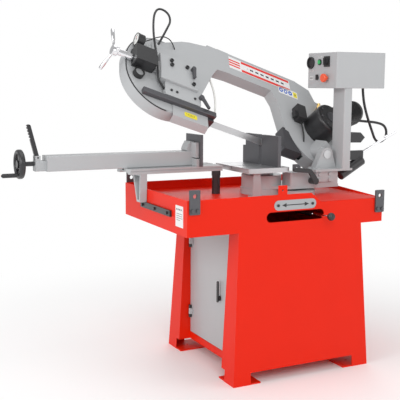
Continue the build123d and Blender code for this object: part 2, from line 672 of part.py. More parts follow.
with BuildPart() as bracket_bolts:
    with BuildSketch(Plane.XZ.offset(-rib_y0 + 9)):
        with Locations((260, 836)):
            with GridLocations(56, 26, 2, 2):
                RegularPolygon(9, 6)
    extrude(amount=6)
    with BuildSketch(Plane.XY.offset(plate_z1)):
        with Locations((224, -84), (224, -16)):
            RegularPolygon(9, 6)
    extrude(amount=6)
save(pivot_bracket.part + bracket_bolts.part, "pivot_bracket")

with BuildPart() as pivot_pin:
    with BuildSketch(Plane.XZ.offset(-ear_y0 + 3)):
        with Locations((pivot_x, pivot_z)):
            Circle(pin_r)
    extrude(amount=ear_y0 - 3 - pin_end)
save(pivot_pin.part, "pivot_pin")

box_x0, box_x1, box_y0, box_y1, box_z0, box_z1 = 300.0, 578.0, -100.0, 130.0, 1243.0, 1408.0
with BuildPart() as column:
    with BuildSketch(Plane.XY.offset(plate_z1)):
        with Locations(((col_x0 + col_x1) / 2, (col_y0 + col_y1) / 2)):
            RectangleRounded(col_x1 - col_x0, col_y1 - col_y0, 5)
            Rectangle(col_x1 - col_x0 - 8, col_y1 - col_y0 - 8, mode=Mode.SUBTRACT)
    extrude(amount=box_z0 - plate_z1)
save(column.part, "column")

with BuildPart() as control_box:
    with Locations(((box_x0 + box_x1) / 2, (box_y0 + box_y1) / 2, (box_z0 + box_z1) / 2)):
        Box(box_x1 - box_x0, box_y1 - box_y0, box_z1 - box_z0)
    fillet(control_box.edges(), 3)
    with Locations(((box_x0 + box_x1) / 2, (box_y0 + box_y1) / 2, (box_z0 + box_z1) / 2)):
        Box(box_x1 - box_x0 - 4, box_y1 - box_y0 - 4, box_z1 - box_z0 - 4, mode=Mode.SUBTRACT)
    panel = Plane(origin=(box_x0, 0, 0), x_dir=(0, -1, 0), z_dir=(-1, 0, 0))
    controls = {"socket": (104.0, 1362.0, 21.0), "start": (33.0, 1364.0, 10.0), "rotary": (-24.0, 1366.0, 7.0),
                "toggle": (44.0, 1292.0, 4.0), "stop": (-24.0, 1290.0, 9.0)}
    with BuildSketch(panel):
        for y, z, r in controls.values():
            with Locations((-y, z)):
                Circle(r + fit)
    extrude(amount=-2, mode=Mode.SUBTRACT)
save(control_box.part, "control_box")


def at_panel(name, lift=0.0):
    y, z, r = controls[name]
    return Plane(origin=(box_x0 - lift, y, z), x_dir=(0, -1, 0), z_dir=(-1, 0, 0)), r


with BuildPart() as main_socket:
    here, r = at_panel("socket")
    with BuildSketch(here.offset(-30)):
        Circle(r)
    extrude(amount=36)
    with BuildSketch(here):
        Circle(28)
    extrude(amount=8)
    with BuildSketch(here.offset(8)):
        Circle(22)
    extrude(amount=-6, mode=Mode.SUBTRACT)

with BuildPart() as start_button:
    here, r = at_panel("start")
    with BuildSketch(here.offset(-12)):
        Circle(r)
    extrude(amount=20)
save(start_button.part, "start_button")

with BuildPart() as start_bezel:
    with BuildSketch(here):
        Circle(14)
        Circle(r + 0.6, mode=Mode.SUBTRACT)
    extrude(amount=5)

with BuildPart() as rotary_switch:
    here, r = at_panel("rotary")
    with BuildSketch(here.offset(-12)):
        Circle(r)
    extrude(amount=12 + 5)
    with BuildSketch(here.offset(4.4)):
        Circle(16)
    extrude(amount=8)
    with BuildSketch(here.offset(12.4)):
        Rectangle(9, 32)
    extrude(amount=9)
save(rotary_switch.part, "rotary_switch")

with BuildPart() as rotary_plate:
    with BuildSketch(here):
        Rectangle(44, 48)
        Circle(r + 0.6, mode=Mode.SUBTRACT)
    extrude(amount=4)
save(main_socket.part + start_bezel.part + rotary_plate.part, "panel_fittings")

with BuildPart() as toggle_switch:
    here, r = at_panel("toggle")
    with BuildSketch(here.offset(-10)):
        Circle(r)
    extrude(amount=14)
    with BuildSketch(here.offset(4)):
        with Locations((0, 2)):
            SlotOverall(26, 9, rotation=90)
    extrude(amount=10)
save(toggle_switch.part, "toggle_switch")

with BuildPart() as stop_button:
    here, r = at_panel("stop")
    with BuildSketch(here.offset(-12)):
        Circle(r)
    extrude(amount=26)
    with BuildSketch(here.offset(14)):
        Circle(20)
    extrude(amount=12)
    fillet(stop_button.edges().filter_by(GeomType.CIRCLE).group_by(Axis.X)[0], 4)
save(stop_button.part, "stop_button")

# spring canister that balances the bow, slung below the column's foot plate
spring_a, spring_b = Vector(372, -44, 834), Vector(500, -44, 905)
with BuildPart() as balance_spring:
    axis_dir = (spring_b - spring_a).normalized()
    with BuildSketch(Plane(origin=spring_a, x_dir=(0, 1, 0), z_dir=axis_dir)):
        Circle(26)
    extrude(amount=(spring_b - spring_a).length)
    fillet(balance_spring.edges().filter_by(GeomType.CIRCLE), 4)
    add(pivot_bracket.part, mode=Mode.SUBTRACT)
    with Locations(((col_x0 + col_x1) / 2, (col_y0 + col_y1) / 2, plate_z1 + 30)):
        Box(col_x1 - col_x0, col_y1 - col_y0, 60, mode=Mode.SUBTRACT)
save(balance_spring.part, "balance_spring")

# ================================================================ bow
beam_u0, beam_u1, beam_v0, beam_v1, beam_w0, beam_w1 = -620.0, -90.0, 158.0, 292.0, -22.0, 35.0
back_w, cover_w = -30.0, 27.0   # back of the housings and the seat of the idler's cover
wall = 5.0


def housing(u, r):
    """Outline of a wheel housing, two circles and what lies between them, in the open sketch."""
    for v in (housing_v, 8.0):
        with Locations((u, v)):
            Circle(r)
    with Locations((u, (housing_v + 8.0) / 2)):
        Rectangle(2 * r, 8.0 - housing_v)


neck_outline = [(-927, 150), (-764, 242), (-719, 258), (-560, beam_v1), (-500, beam_v1), (-500, beam_v0),
                (-575, 150), (-604, 104), (-677, -53), (-740, -110), (-905, -60), (-925, 60)]
with BuildPart() as bow_frame:
    # hollow beam
    with BuildSketch(bow.offset(beam_w0)):
        with Locations(((beam_u0 + beam_u1) / 2, (beam_v0 + beam_v1) / 2)):
            Rectangle(beam_u1 - beam_u0, beam_v1 - beam_v0)
    extrude(amount=beam_w1 - beam_w0)
    # idler housing and the neck that joins it to the beam
    with BuildSketch(bow.offset(back_w)):
        housing(idler_u, housing_r)
    extrude(amount=cover_w - back_w)
    with BuildSketch(bow.offset(beam_w0)):
        with BuildLine():
            Polyline((-764, 242), (-719, 258), (-560, beam_v1), (-500, beam_v1), (-500, beam_v0), (-575, 150),
                     (-604, 104), (-677, -53), (-720, -20), (-760, 150), close=True)
        make_face()
    extrude(amount=cover_w - beam_w0)
    with BuildSketch(bow.offset(cover_w)):
        with BuildLine():
            Polyline(*neck_outline, close=True)
        make_face()
    extrude(amount=10)
    # drive housing, closed at the front, and the leg that joins it to the beam
    with BuildSketch(bow.offset(back_w)):
        housing(0, housing_r)
    extrude(amount=beam_w1 - back_w)
    with BuildSketch(bow.offset(beam_w0)):
        with BuildLine():
            Polyline((-260, beam_v0), (-233, 106), (-206, -70), (-150, -90), (0, -90), (60, 100), (-5, 267),
                     (-97, beam_v1), (-260, beam_v1), close=True)
        make_face()
    extrude(amount=beam_w1 - beam_w0)
    # hinge lug on the front of the drive housing
    with BuildSketch(Plane.XZ.offset(-ear_y1 - gap)):
        with Locations((pivot_x, pivot_z)):
            Circle(34)
        with BuildLine():
            Polyline((pivot_x - 20, pivot_z + 26), (pivot_x + 30, pivot_z - 14), (pivot_x + 60, pivot_z + 20),
                     (pivot_x + 20, pivot_z + 60), close=True)
        make_face()
    extrude(amount=-(80 - ear_y1 - gap))
    # hollows
    with BuildSketch(bow.offset(beam_w0 + 6)):
        with Locations(((beam_u0 - 20 + beam_u1 - 10) / 2, (beam_v0 + beam_v1) / 2)):
            Rectangle(beam_u1 - beam_u0 + 10, beam_v1 - beam_v0 - 2 * wall)
    extrude(amount=beam_w1 - beam_w0 - 12, mode=Mode.SUBTRACT)
    with BuildSketch(bow.offset(back_w + wall)):
        housing(idler_u, housing_r - housing_wall)
    extrude(amount=cover_w - back_w - wall, mode=Mode.SUBTRACT)
    with BuildSketch(bow.offset(back_w)):
        housing(0, housing_r - housing_wall)
    extrude(amount=beam_w1 - back_w - 6, mode=Mode.SUBTRACT)
    # ways for the upper and the lower run of the blade
    with BuildSketch(bow.offset(-18)):
        with Locations((idler_u / 2, band_r + 3)):
            Rectangle(wheel_base, 18)
        with Locations((idler_u + 150, -band_r), (-150, -band_r)):
            Rectangle(150, 36)
    extrude(amount=36, mode=Mode.SUBTRACT)
    # bore for the pivot pin, and the seats of the gearbox shaft and of the idler's slide
    with BuildSketch(Plane.XZ.offset(50)):
        with Locations((pivot_x, pivot_z)):
            Circle(pin_r + fit)
    extrude(amount=-(50 + pin_end + 2), mode=Mode.SUBTRACT)
    with BuildSketch(bow.offset(20)):
        Circle(24)
        with Locations((idler_u, 0)):
            SlotOverall(80, 44)
    extrude(amount=40, mode=Mode.SUBTRACT)
save(bow_frame.part, "bow_frame")

with BuildPart() as idler_cover:
    with BuildSketch(bow.offset(cover_w)):
        housing(idler_u, housing_r - 5)
        with BuildLine():
            Polyline(*neck_outline, close=True)
        make_face(mode=Mode.SUBTRACT)
    extrude(amount=5)

with BuildPart() as cover_seal:
    # dark rubber edge round the cover
    with BuildSketch(bow.offset(cover_w)):
        housing(idler_u, housing_r - 1)
        housing_inner = housing_r - 5
        for v in (housing_v, 8.0):
            with Locations((idler_u, v)):
                Circle(housing_inner, mode=Mode.SUBTRACT)
        with Locations((idler_u, (housing_v + 8.0) / 2)):
            Rectangle(2 * housing_inner, 8.0 - housing_v, mode=Mode.SUBTRACT)
        with BuildLine():
            Polyline(*neck_outline, close=True)
        make_face(mode=Mode.SUBTRACT)
    extrude(amount=3)

with BuildPart() as drive_cover:
    with BuildSketch(bow.offset(back_w - 3)):
        housing(0, housing_r)
    extrude(amount=3)
save(drive_cover.part, "drive_cover")

for name, u in (("drive_wheel", 0.0), ("idler_wheel", idler_u)):
    with BuildPart() as band_wheel:
        with BuildSketch(bow.offset(-14)):
            with Locations((u, 0)):
                Circle(band_r - gap)
        extrude(amount=28)
        for w0 in (-14, 5):
            with BuildSketch(bow.offset(w0)):
                with Locations((u, 0)):
                    Circle(band_r - 18)
                    Circle(38, mode=Mode.SUBTRACT)
            extrude(amount=9, mode=Mode.SUBTRACT)
        with BuildSketch(bow.offset(-14)):
            with Locations((u, 0)):
                Circle(shaft_r + fit)
                with PolarLocations(95, 5):
                    Circle(26)
        extrude(amount=28, mode=Mode.SUBTRACT)
        if u == 0:
            # the drive wheel is keyed on the gearbox shaft
            with BuildSketch(bow.offset(-16)):
                Circle(shaft_r)
                Circle(shaft_r + 3)
            extrude(amount=32)
            with BuildSketch(bow.offset(16)):
                Circle(shaft_r)
            extrude(amount=beam_w1 + 4)
    save(band_wheel.part, name)


def strip(u, upright):
    """Cross-section of the blade at u, flat to the wheels or upright in the cut."""
    x_dir = square_up if upright else front
    centre = bow.from_local_coords(Vector(u, -band_r - band_t / 2, 0))
    return Plane(origin=centre, x_dir=x_dir, z_dir=along)


twist_u0, twist_u1, flat_run = -725.0, -140.0, 24.0
with BuildPart() as blade:
    with BuildSketch(bow.offset(-band_w / 2)):
        with Locations((idler_u / 2, 0)):
            SlotCenterToCenter(wheel_base, 2 * (band_r + band_t))
            SlotCenterToCenter(wheel_base, 2 * band_r, mode=Mode.SUBTRACT)
        with Locations((idler_u / 2, -band_r)):
            Rectangle(wheel_base - 2 * flat_run, 20, mode=Mode.SUBTRACT)
    extrude(amount=band_w)
    for u0, up0, u1, up1 in ((idler_u + flat_run, False, twist_u0, True), (twist_u1, True, -flat_run, False)):
        with BuildSketch(strip(u0, up0)):
            Rectangle(band_w, band_t)
        with BuildSketch(strip(u1, up1)):
            Rectangle(band_w, band_t)
        loft()
save(blade.part, "blade")

with BuildPart() as blade_run:
    # the upright run of the same band, which cuts
    with BuildSketch(strip(twist_u0, True)):
        Rectangle(band_w, band_t)
    extrude(amount=twist_u1 - twist_u0)
save(blade_run.part, "blade_run")

# idler axle on its slide, with the tension screw
slide_w0, slide_w1 = 37.4, 60.0
with BuildPart() as idler_axle:
    with BuildSketch(bow.offset(-20)):
        with Locations((idler_u, 0)):
            Circle(shaft_r)
    extrude(amount=20 + slide_w0)
    with BuildSketch(bow.offset(slide_w0)):
        with Locations((idler_u - 8, 0)):
            Rectangle(110, 56)
    extrude(amount=slide_w1 - slide_w0)
save(idler_axle.part, "idler_axle")

with BuildPart() as guide_plate:
    # cast plate over the slide that clamps it, dovetailed at its lower edge
    with BuildSketch(bow.offset(37)):
        with Locations(((-905 - 718) / 2, 0)):
            Rectangle(905 - 718, 150)
        with Locations(((-905 + -800) / 2, 0)):
            Rectangle(140, 56 + 2 * gap, mode=Mode.SUBTRACT)
    extrude(amount=slide_w1 + 1 + gap - 37)
    with BuildSketch(bow.offset(slide_w1 + 1 + gap)):
        with Locations(((-905 - 718) / 2, 0)):
            Rectangle(905 - 718, 150)
    extrude(amount=10)
    chamfer(guide_plate.faces().sort_by(lambda f: (f.center() - drive_centre).dot(front))[-1].edges(), 3)

with BuildPart() as plate_bolts:
    with BuildSketch(bow.offset(slide_w1 + 11 + gap)):
        for u, v in ((-850, 46), (-850, 20), (-770, 40), (-742, -50)):
            with Locations((u, v)):
                Circle(9)
    extrude(amount=9)
    with BuildSketch(bow.offset(slide_w1 + 20 + gap)):
        for u, v in ((-850, 46), (-850, 20), (-770, 40), (-742, -50)):
            with Locations((u, v)):
                RegularPolygon(4.5, 6)
    extrude(amount=-5, mode=Mode.SUBTRACT)

screw_w = 49.0
block_u0, block_u1, block_v0, block_v1, block_w1 = -1035.0, -935.0, -38.0, 52.0, 92.0
with BuildPart() as tension_block:
    with BuildSketch(bow.offset(slide_w0)):
        with Locations(((block_u0 + block_u1) / 2, (block_v0 + block_v1) / 2)):
            Rectangle(block_u1 - block_u0, block_v1 - block_v0)
        with Locations((-923, 63)):
            Rectangle(34, 64)
    extrude(amount=11)
    with BuildSketch(bow.offset(slide_w0 + 11)):
        with Locations(((block_u0 + block_u1) / 2, (block_v0 + block_v1) / 2)):
            RectangleRounded(block_u1 - block_u0, block_v1 - block_v0, 5)
    extrude(amount=block_w1 - slide_w0 - 11)
    screw_end = bow.from_local_coords(Vector(block_u0 - 2, 0, screw_w))
    screw_at = Plane(origin=screw_end, x_dir=front, z_dir=along)
    with BuildSketch(screw_at):
        Circle(8 + fit)
    extrude(amount=block_u1 - block_u0 + 4, mode=Mode.SUBTRACT)
save(tension_block.part, "tension_block")

star_u = -1122.0
with BuildPart() as tension_star:
    star_at = Plane(origin=bow.from_local_coords(Vector(star_u, 0, screw_w)), x_dir=up_back, z_dir=along)
    with BuildSketch(star_at):
        Circle(8)
    extrude(amount=-928 - gap - star_u)
    with BuildSketch(star_at.offset(-12)):
        Circle(24)
    extrude(amount=26)
    # polished sleeve between the hub and the block
    with BuildSketch(star_at.offset(14)):
        Circle(16)
    extrude(amount=block_u0 - gap - star_u - 14)
    # three tapered handles
    for i in range(3):
        angle = radians(12 + 120 * i)
        out = up_back * cos(angle) + front * sin(angle)
        tilt = (out * 1.0 - along * 0.18).normalized()
        start = bow.from_local_coords(Vector(star_u, 0, screw_w)) + out * 18
        with BuildSketch(Plane(origin=start, x_dir=along, z_dir=tilt)):
            Circle(6)
        with BuildSketch(Plane(origin=start + tilt * 88, x_dir=along, z_dir=tilt)):
            Circle(9)
        loft()
save(tension_star.part, "tension_star")

with BuildPart() as gauge_body:
    # tension gauge on a stem from the block
    stem_u = -1000.0
    with BuildSketch(Plane(origin=bow.from_local_coords(Vector(stem_u, block_v1, 66)), x_dir=along, z_dir=up_back)):
        Circle(6)
    extrude(amount=26)
    gauge_at = Plane(origin=bow.from_local_coords(Vector(stem_u - 18, block_v1 + 52, 66)), x_dir=up_back, z_dir=-along)
    with BuildSketch(gauge_at):
        Circle(29)
    extrude(amount=-32)
    with BuildSketch(gauge_at):
        Circle(29)
        Circle(26, mode=Mode.SUBTRACT)
    extrude(amount=6)

with BuildPart() as gauge_face:
    with BuildSketch(gauge_at):
        Circle(26)
    extrude(amount=3)
save(gauge_body.part + gauge_face.part, "tension_gauge")

with BuildPart() as cover_knob:
    with BuildSketch(bow.offset(cover_w + 5)):
        with Locations((-1002, -72)):
            Circle(25)
    extrude(amount=22)
    with BuildSketch(bow.offset(cover_w + 27)):
        with Locations((-1002, -72)):
            Circle(19)
    extrude(amount=-5, mode=Mode.SUBTRACT)
save(idler_cover.part + cover_seal.part + cover_knob.part, "idler_cover")

# adjustable guide arm, which slides along the blade in its carrier
arm_v0, arm_v1, arm_w0, arm_w1 = -178.0, -151.0, 33.0, 57.0
arm_u0, arm_u1 = -985.0, -622.0
with BuildPart() as arm_carrier:
    with BuildSketch(bow.offset(37)):
        with Locations((-790, -113)):
            Rectangle(180, 74.5)
    extrude(amount=arm_w1 - 37)
    chamfer(arm_carrier.edges().filter_by(lambda e: abs((e @ 1 - e @ 0).normalized().dot(front)) > 0.99), 4)

with BuildPart() as carrier_screws:
    with BuildSketch(bow.offset(arm_w1)):
        for u in (-850, -822, -730):
            with Locations((u, -118)):
                Circle(6)
    extrude(amount=4)
save(guide_plate.part + plate_bolts.part + arm_carrier.part + carrier_screws.part, "guide_plate")

with BuildPart() as guide_arm:
    with BuildSketch(bow.offset(arm_w0)):
        with Locations(((arm_u0 + arm_u1) / 2, (arm_v0 + arm_v1) / 2)):
            Rectangle(arm_u1 - arm_u0, arm_v1 - arm_v0)
    extrude(amount=arm_w1 - arm_w0)
    chamfer(guide_arm.edges().filter_by(lambda e: abs((e @ 1 - e @ 0).normalized().dot(along)) > 0.99), 3)

head_u0, head_u1 = -652.0, -622.0
with BuildPart() as guide_head:
    # block at the end of the arm with the hard pads either side of the blade
    with BuildSketch(bow.offset(-16)):
        with Locations(((head_u0 + head_u1) / 2, -band_r)):
            Rectangle(head_u1 - head_u0, 40)
    extrude(amount=16 + arm_w0)
    with BuildSketch(strip(head_u0 - 5, True)):
        with Locations((-8, 0)):
            Rectangle(band_w + 22, 3)
    extrude(amount=head_u1 - head_u0 + 10, mode=Mode.SUBTRACT)
save(guide_arm.part + guide_head.part, "guide_arm")

with BuildPart() as blade_guard:
    guard_u0, guard_u1 = -835.0, -656.0
    with BuildSketch(Plane(origin=bow.from_local_coords(Vector(guard_u0, 0, 0)), x_dir=up_back, z_dir=along)):
        with BuildLine():
            # the section's own x runs up the bow and its y out to the front
            Polyline((arm_v0, arm_w0 + 1), (arm_v0, arm_w0 + 3), (-236, arm_w0 + 3), (-250, 2), (-248, 1),
                     (-234.5, arm_w0 + 1), close=True)
        make_face()
    extrude(amount=guard_u1 - guard_u0)
save(blade_guard.part, "blade_guard")

with BuildPart() as arm_clamp:
    # hub and lever that lock the guide arm
    with BuildSketch(bow.offset(arm_w1 + gap)):
        with Locations((-700, -104)):
            Circle(11)
    extrude(amount=16)
    with BuildSketch(bow.offset(arm_w1 + gap + 8)):
        with BuildLine():
            Polyline((-706, -112), (-694, -96), (-664, -150), (-674, -158), close=True)
        make_face()
        with Locations((-669, -154)):
            Circle(7)
    extrude(amount=8)
save(arm_clamp.part, "arm_clamp")

with BuildPart() as slide_clamp:
    # lever that clamps the guide plate onto the slide
    with BuildSketch(bow.offset(slide_w1 + 11 + gap)):
        with Locations((-742, 36)):
            Circle(10)
    extrude(amount=20)
    with BuildSketch(bow.offset(slide_w1 + 19 + gap)):
        with BuildLine():
            Polyline((-751, 36), (-733, 36), (-737, -16), (-747, -16), close=True)
        make_face()
        with Locations((-742, -16)):
            Circle(7)
    extrude(amount=12)
save(slide_clamp.part, "slide_clamp")

with BuildPart() as fixed_guide:
    with BuildSketch(bow.offset(-24)):
        with BuildLine():
            # its leading edge stays clear of the fixed jaws over the whole mitre travel
            Polyline((-226, -190), (-128, -190), (-163, -136), (-184, -80), (-200, -60), (-222, -60),
                     (-226, -120), close=True)
        make_face()
    extrude(amount=24 + 34)
    with BuildSketch(strip(-260, True)):
        with Locations((-8, 0)):
            Rectangle(band_w + 22, 3)
    extrude(amount=160, mode=Mode.SUBTRACT)
    add(bow_frame.part, mode=Mode.SUBTRACT)
save(fixed_guide.part, "fixed_guide")

gear_w1, gear_r, motor_r, motor_w = 150.0, 82.0, 58.0, 100.0
with BuildPart() as gearbox:
    with BuildSketch(bow.offset(beam_w1)):
        Circle(gear_r)
    extrude(amount=gear_w1 - beam_w1)
    fillet(gearbox.edges().filter_by(GeomType.CIRCLE).sort_by(lambda e: (e.center() - drive_centre).dot(front))[-1:], 14)
    with BuildSketch(bow.offset(beam_w1)):
        Circle(shaft_r + fit)
    extrude(amount=22, mode=Mode.SUBTRACT)

motor_dir = (along * 0.8 + up_back * 0.6).normalized()
with BuildPart() as motor:
    motor_base = bow.from_local_coords(Vector(0, 0, motor_w)) + motor_dir * 60
    with BuildSketch(Plane(origin=motor_base, x_dir=front, z_dir=motor_dir)):
        Circle(motor_r)
    extrude(amount=216)
    fillet(motor.edges().filter_by(GeomType.CIRCLE).sort_by(lambda e: (e.center() - drive_centre).dot(motor_dir))[-1:], 12)
    add(gearbox.part, mode=Mode.SUBTRACT)
save(gearbox.part + motor.part, "drive_motor")

with BuildPart() as switch_box:
    with BuildSketch(bow.offset(beam_w1)):
        with Locations((-118, 46)):
            RectangleRounded(50, 84, 5)
    extrude(amount=44)
    with BuildSketch(bow.offset(beam_w1 + 10)):
        with Locations((-150, 30)):
            Rectangle(16, 34)
    extrude(amount=24)
save(switch_box.part, "switch_box")

with BuildPart() as feed_valve:
    valve_at = Plane(origin=bow.from_local_coords(Vector(22, 96, 58)), x_dir=along, z_dir=up_back)
    with BuildSketch(valve_at):
        Circle(9)
    extrude(amount=70)
    for z in (8, 40):
        with BuildSketch(valve_at.offset(z)):
            RegularPolygon(14, 6)
        extrude(amount=14)
    with BuildSketch(bow.offset(beam_w1)):
        with Locations((22, 130)):
            Rectangle(12, 40)
    extrude(amount=16)
save(feed_valve.part, "feed_valve")

# mitre clamp handle on the front of the swivel's rib
with BuildPart() as mitre_handle:
    handle_at = Plane(origin=(190, rib_y0 - gap, 822), x_dir=(1, 0, 0), z_dir=(0, -1, 0))
    with BuildSketch(handle_at):
        Circle(15)
    extrude(amount=43)
    with BuildSketch(handle_at.offset(31)):
        with BuildLine():
            Polyline((-14, 2), (13, 8), (-26, 56), (-48, 62), (-54, 44), (-36, 38), close=True)
        make_face()
        with Locations((-80, 54)):
            SlotOverall(84, 20, rotation=-6)
    extrude(amount=12)
save(mitre_handle.part, "mitre_handle")

# bracket, stop rod and chain on the right of the column
with BuildPart() as stop_bracket:
    with Locations(((col_x1 + 500) / 2, -50, 928)):
        Box(500 - col_x1, 14, 44)
    add(balance_spring.part, mode=Mode.SUBTRACT)
    with BuildSketch(Plane(origin=(490, -50, 936), x_dir=(0, 1, 0), z_dir=Vector(206, 0, 99).normalized())):
        Circle(6 + fit)
    extrude(amount=-40, both=True, mode=Mode.SUBTRACT)

with BuildPart() as stop_rod:
    rod_at = Plane(origin=(478, -50, 936 - 12 * 99 / 206), x_dir=(0, 1, 0), z_dir=Vector(206, 0, 99).normalized())
    with BuildSketch(rod_at):
        Circle(6)
    extrude(amount=170)
    with BuildSketch(rod_at.offset(170)):
        Circle(9)
    extrude(amount=70)
save(stop_rod.part, "stop_rod")

with BuildPart() as side_plate:
    with BuildSketch(Plane.XZ.offset(58)):
        with BuildLine():
            Polyline((col_x1, 990), (col_x1, 1040), (474, 1036), (500, 1012), (476, 988), close=True)
        make_face()
    extrude(amount=8)
save(stop_bracket.part + side_plate.part, "stop_bracket")

link_w, link_l, link_wire = 17.0, 27.0, 5.0
link_pitch = link_l - 2 * link_wire - gap
with BuildPart() as stay_chain:
    # the top link hangs from a peg on the column
    with BuildSketch(Plane.YZ.offset(col_x1)):
        with Locations((-30, 1066)):
            Circle(4)
    extrude(amount=30)
    for i in range(7):
        z = 1066 - 4 - gap - link_l / 2 + link_wire - i * link_pitch
        across = (1, 0, 0) if i % 2 else (0, 1, 0)
        normal = (0, 1, 0) if i % 2 else (1, 0, 0)
        with BuildSketch(Plane(origin=(col_x1 + 22, -30, z), x_dir=across, z_dir=normal).offset(-link_wire / 2)):
            SlotOverall(link_l, link_w, rotation=90)
            SlotOverall(link_l - 2 * link_wire, link_w - 2 * link_wire, rotation=90, mode=Mode.SUBTRACT)
        extrude(amount=link_wire)
save(stay_chain.part, "stay_chain")


# ================================================================ hoses and cables
def run(name, diameter, points):
    """A tube of straight runs and tangent arcs through the points, with the radius of each bend printed."""
    radii = []
    for a, b, c in zip(points, points[1:], points[2:]):
        turn = radians((b - a).get_angle(c - b))
        radii.append(0.45 * min((b - a).length, (c - b).length) / tan(turn / 2))
    with BuildPart() as tube:
        with BuildLine() as route:
            FilletPolyline(*points, radius=radii)
        with BuildSketch(Plane(origin=route.line @ 0, z_dir=route.line % 0)):
            Circle(diameter / 2)
        sweep(path=route.line)
    save(tube.part, name)
    section = pi * diameter ** 2 / 4
    length = sum(edge.length for edge in route.edges())
    print(f"    {name} length {length:.1f} volume/section {tube.part.volume / section:.1f}"
          f" tightest {min(radii):.1f} = {min(radii) / diameter:.1f} diameters")


def on_bow(*places):
    """Points of the bow's own frame, as points of the machine."""
    return [bow.from_local_coords(Vector(*place)) for place in places]


# conduit that loops over the free end, from the arm carrier to the neck
run("bow_conduit", 10.0, on_bow((-874, -116.5, 45), (-916, -92, 58), (-922, -50, 70), (-924, 20, 72), (-931, 95, 72),
                                (-936, 170, 71), (-934, 250, 70), (-926, 314, 70), (-906, 358, 70), (-873, 367, 70),
                                (-845, 347, 70), (-841, 303, 70), (-858, 258, 70), (-874, 215, 66), (-889, 172, 48),
                                (-893, 160, 35)))
# thin wire of the tension gauge
run("gauge_wire", 5.0, on_bow((-987, 104, 66), (-966, 114, 74), (-931, 142, 84), (-888, 172, 82), (-848, 185, 68),
                              (-820, 178, 50), (-806, 170, 36)))
# coolant hose from the neck down to the blade
run("coolant_hose", 9.0, on_bow((-604, 98, 8), (-594, 45, 14), (-590, -20, 16), (-592, -80, 14), (-598, -128, 8)))
# cable of the switch box
run("switch_cable", 8.0, on_bow((-118, 5, 57), (-116, -30, 57), (-112, -66, 54), (-106, -92, 44), (-103, -108, 34)))
# conduit looped beside the column, from the control box to the column
run("loop_conduit", 12.0, [Vector(*place) for place in (
    (496, -42, 1244), (500, -42, 1200), (514, -42, 1146), (536, -42, 1090), (562, -38, 1040), (590, -30, 992),
    (624.8, -26, 982.7), (656, -24, 1000.7), (665.3, -23, 1035.5), (647.3, -22, 1066.7), (599, -21, 1079.6),
    (539, -20, 1085), (484, -20, 1090), (438, -20, 1091), (395, -20, 1088))])
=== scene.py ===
import bpy
import json
import numpy as np
from math import cos, pi, radians, sin
from mathutils import Matrix, Vector


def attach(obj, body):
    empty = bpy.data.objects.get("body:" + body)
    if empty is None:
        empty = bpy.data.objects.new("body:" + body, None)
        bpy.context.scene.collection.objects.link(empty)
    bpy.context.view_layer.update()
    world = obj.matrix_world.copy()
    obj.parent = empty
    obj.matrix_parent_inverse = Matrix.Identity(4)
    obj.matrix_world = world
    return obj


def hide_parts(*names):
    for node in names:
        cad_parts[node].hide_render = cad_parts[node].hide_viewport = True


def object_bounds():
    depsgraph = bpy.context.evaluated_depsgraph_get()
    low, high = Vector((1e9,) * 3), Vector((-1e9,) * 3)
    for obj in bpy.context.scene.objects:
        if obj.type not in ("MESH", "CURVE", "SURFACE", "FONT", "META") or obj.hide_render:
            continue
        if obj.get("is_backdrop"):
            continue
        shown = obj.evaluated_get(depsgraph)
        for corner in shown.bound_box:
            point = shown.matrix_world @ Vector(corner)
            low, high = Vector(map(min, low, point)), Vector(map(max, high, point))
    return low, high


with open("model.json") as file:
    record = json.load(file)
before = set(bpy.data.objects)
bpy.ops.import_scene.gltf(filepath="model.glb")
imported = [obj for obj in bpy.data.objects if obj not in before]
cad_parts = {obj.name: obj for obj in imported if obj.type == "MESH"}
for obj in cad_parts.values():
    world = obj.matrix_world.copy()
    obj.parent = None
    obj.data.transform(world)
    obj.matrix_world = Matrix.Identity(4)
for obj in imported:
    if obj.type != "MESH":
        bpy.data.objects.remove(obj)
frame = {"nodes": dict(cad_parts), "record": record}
cad_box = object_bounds()
nodes = frame["nodes"]

# ---------------------------------------------------------------- camera and studio
# Level view from the operator's left with a long lens.  A pale floor stands under the feet, and
# large soft lamps hang in front, at the left and above, with one behind for the edges.
camera = bpy.data.objects.new("camera", bpy.data.cameras.new("camera"))
bpy.context.scene.collection.objects.link(camera)
bpy.context.scene.camera = camera
camera.data.lens, camera.data.sensor_width = 72.7, 36.0
camera.data.clip_end = 50.0
bpy.context.scene.view_settings.view_transform = "Standard"
camera_place, camera_yaw, camera_pitch, camera_roll = (-1.9267, -3.1550, 1.2611), 0.465, 0.143, 0.005
ahead = Vector((sin(camera_yaw) * cos(camera_pitch), cos(camera_yaw) * cos(camera_pitch), -sin(camera_pitch)))
across = Vector((cos(camera_yaw), -sin(camera_yaw), 0))
camera_turn = Matrix((across, across.cross(ahead), -ahead)).transposed().to_4x4()
camera.matrix_world = Matrix.Translation(camera_place) @ camera_turn @ Matrix.Rotation(camera_roll, 4, "Z")


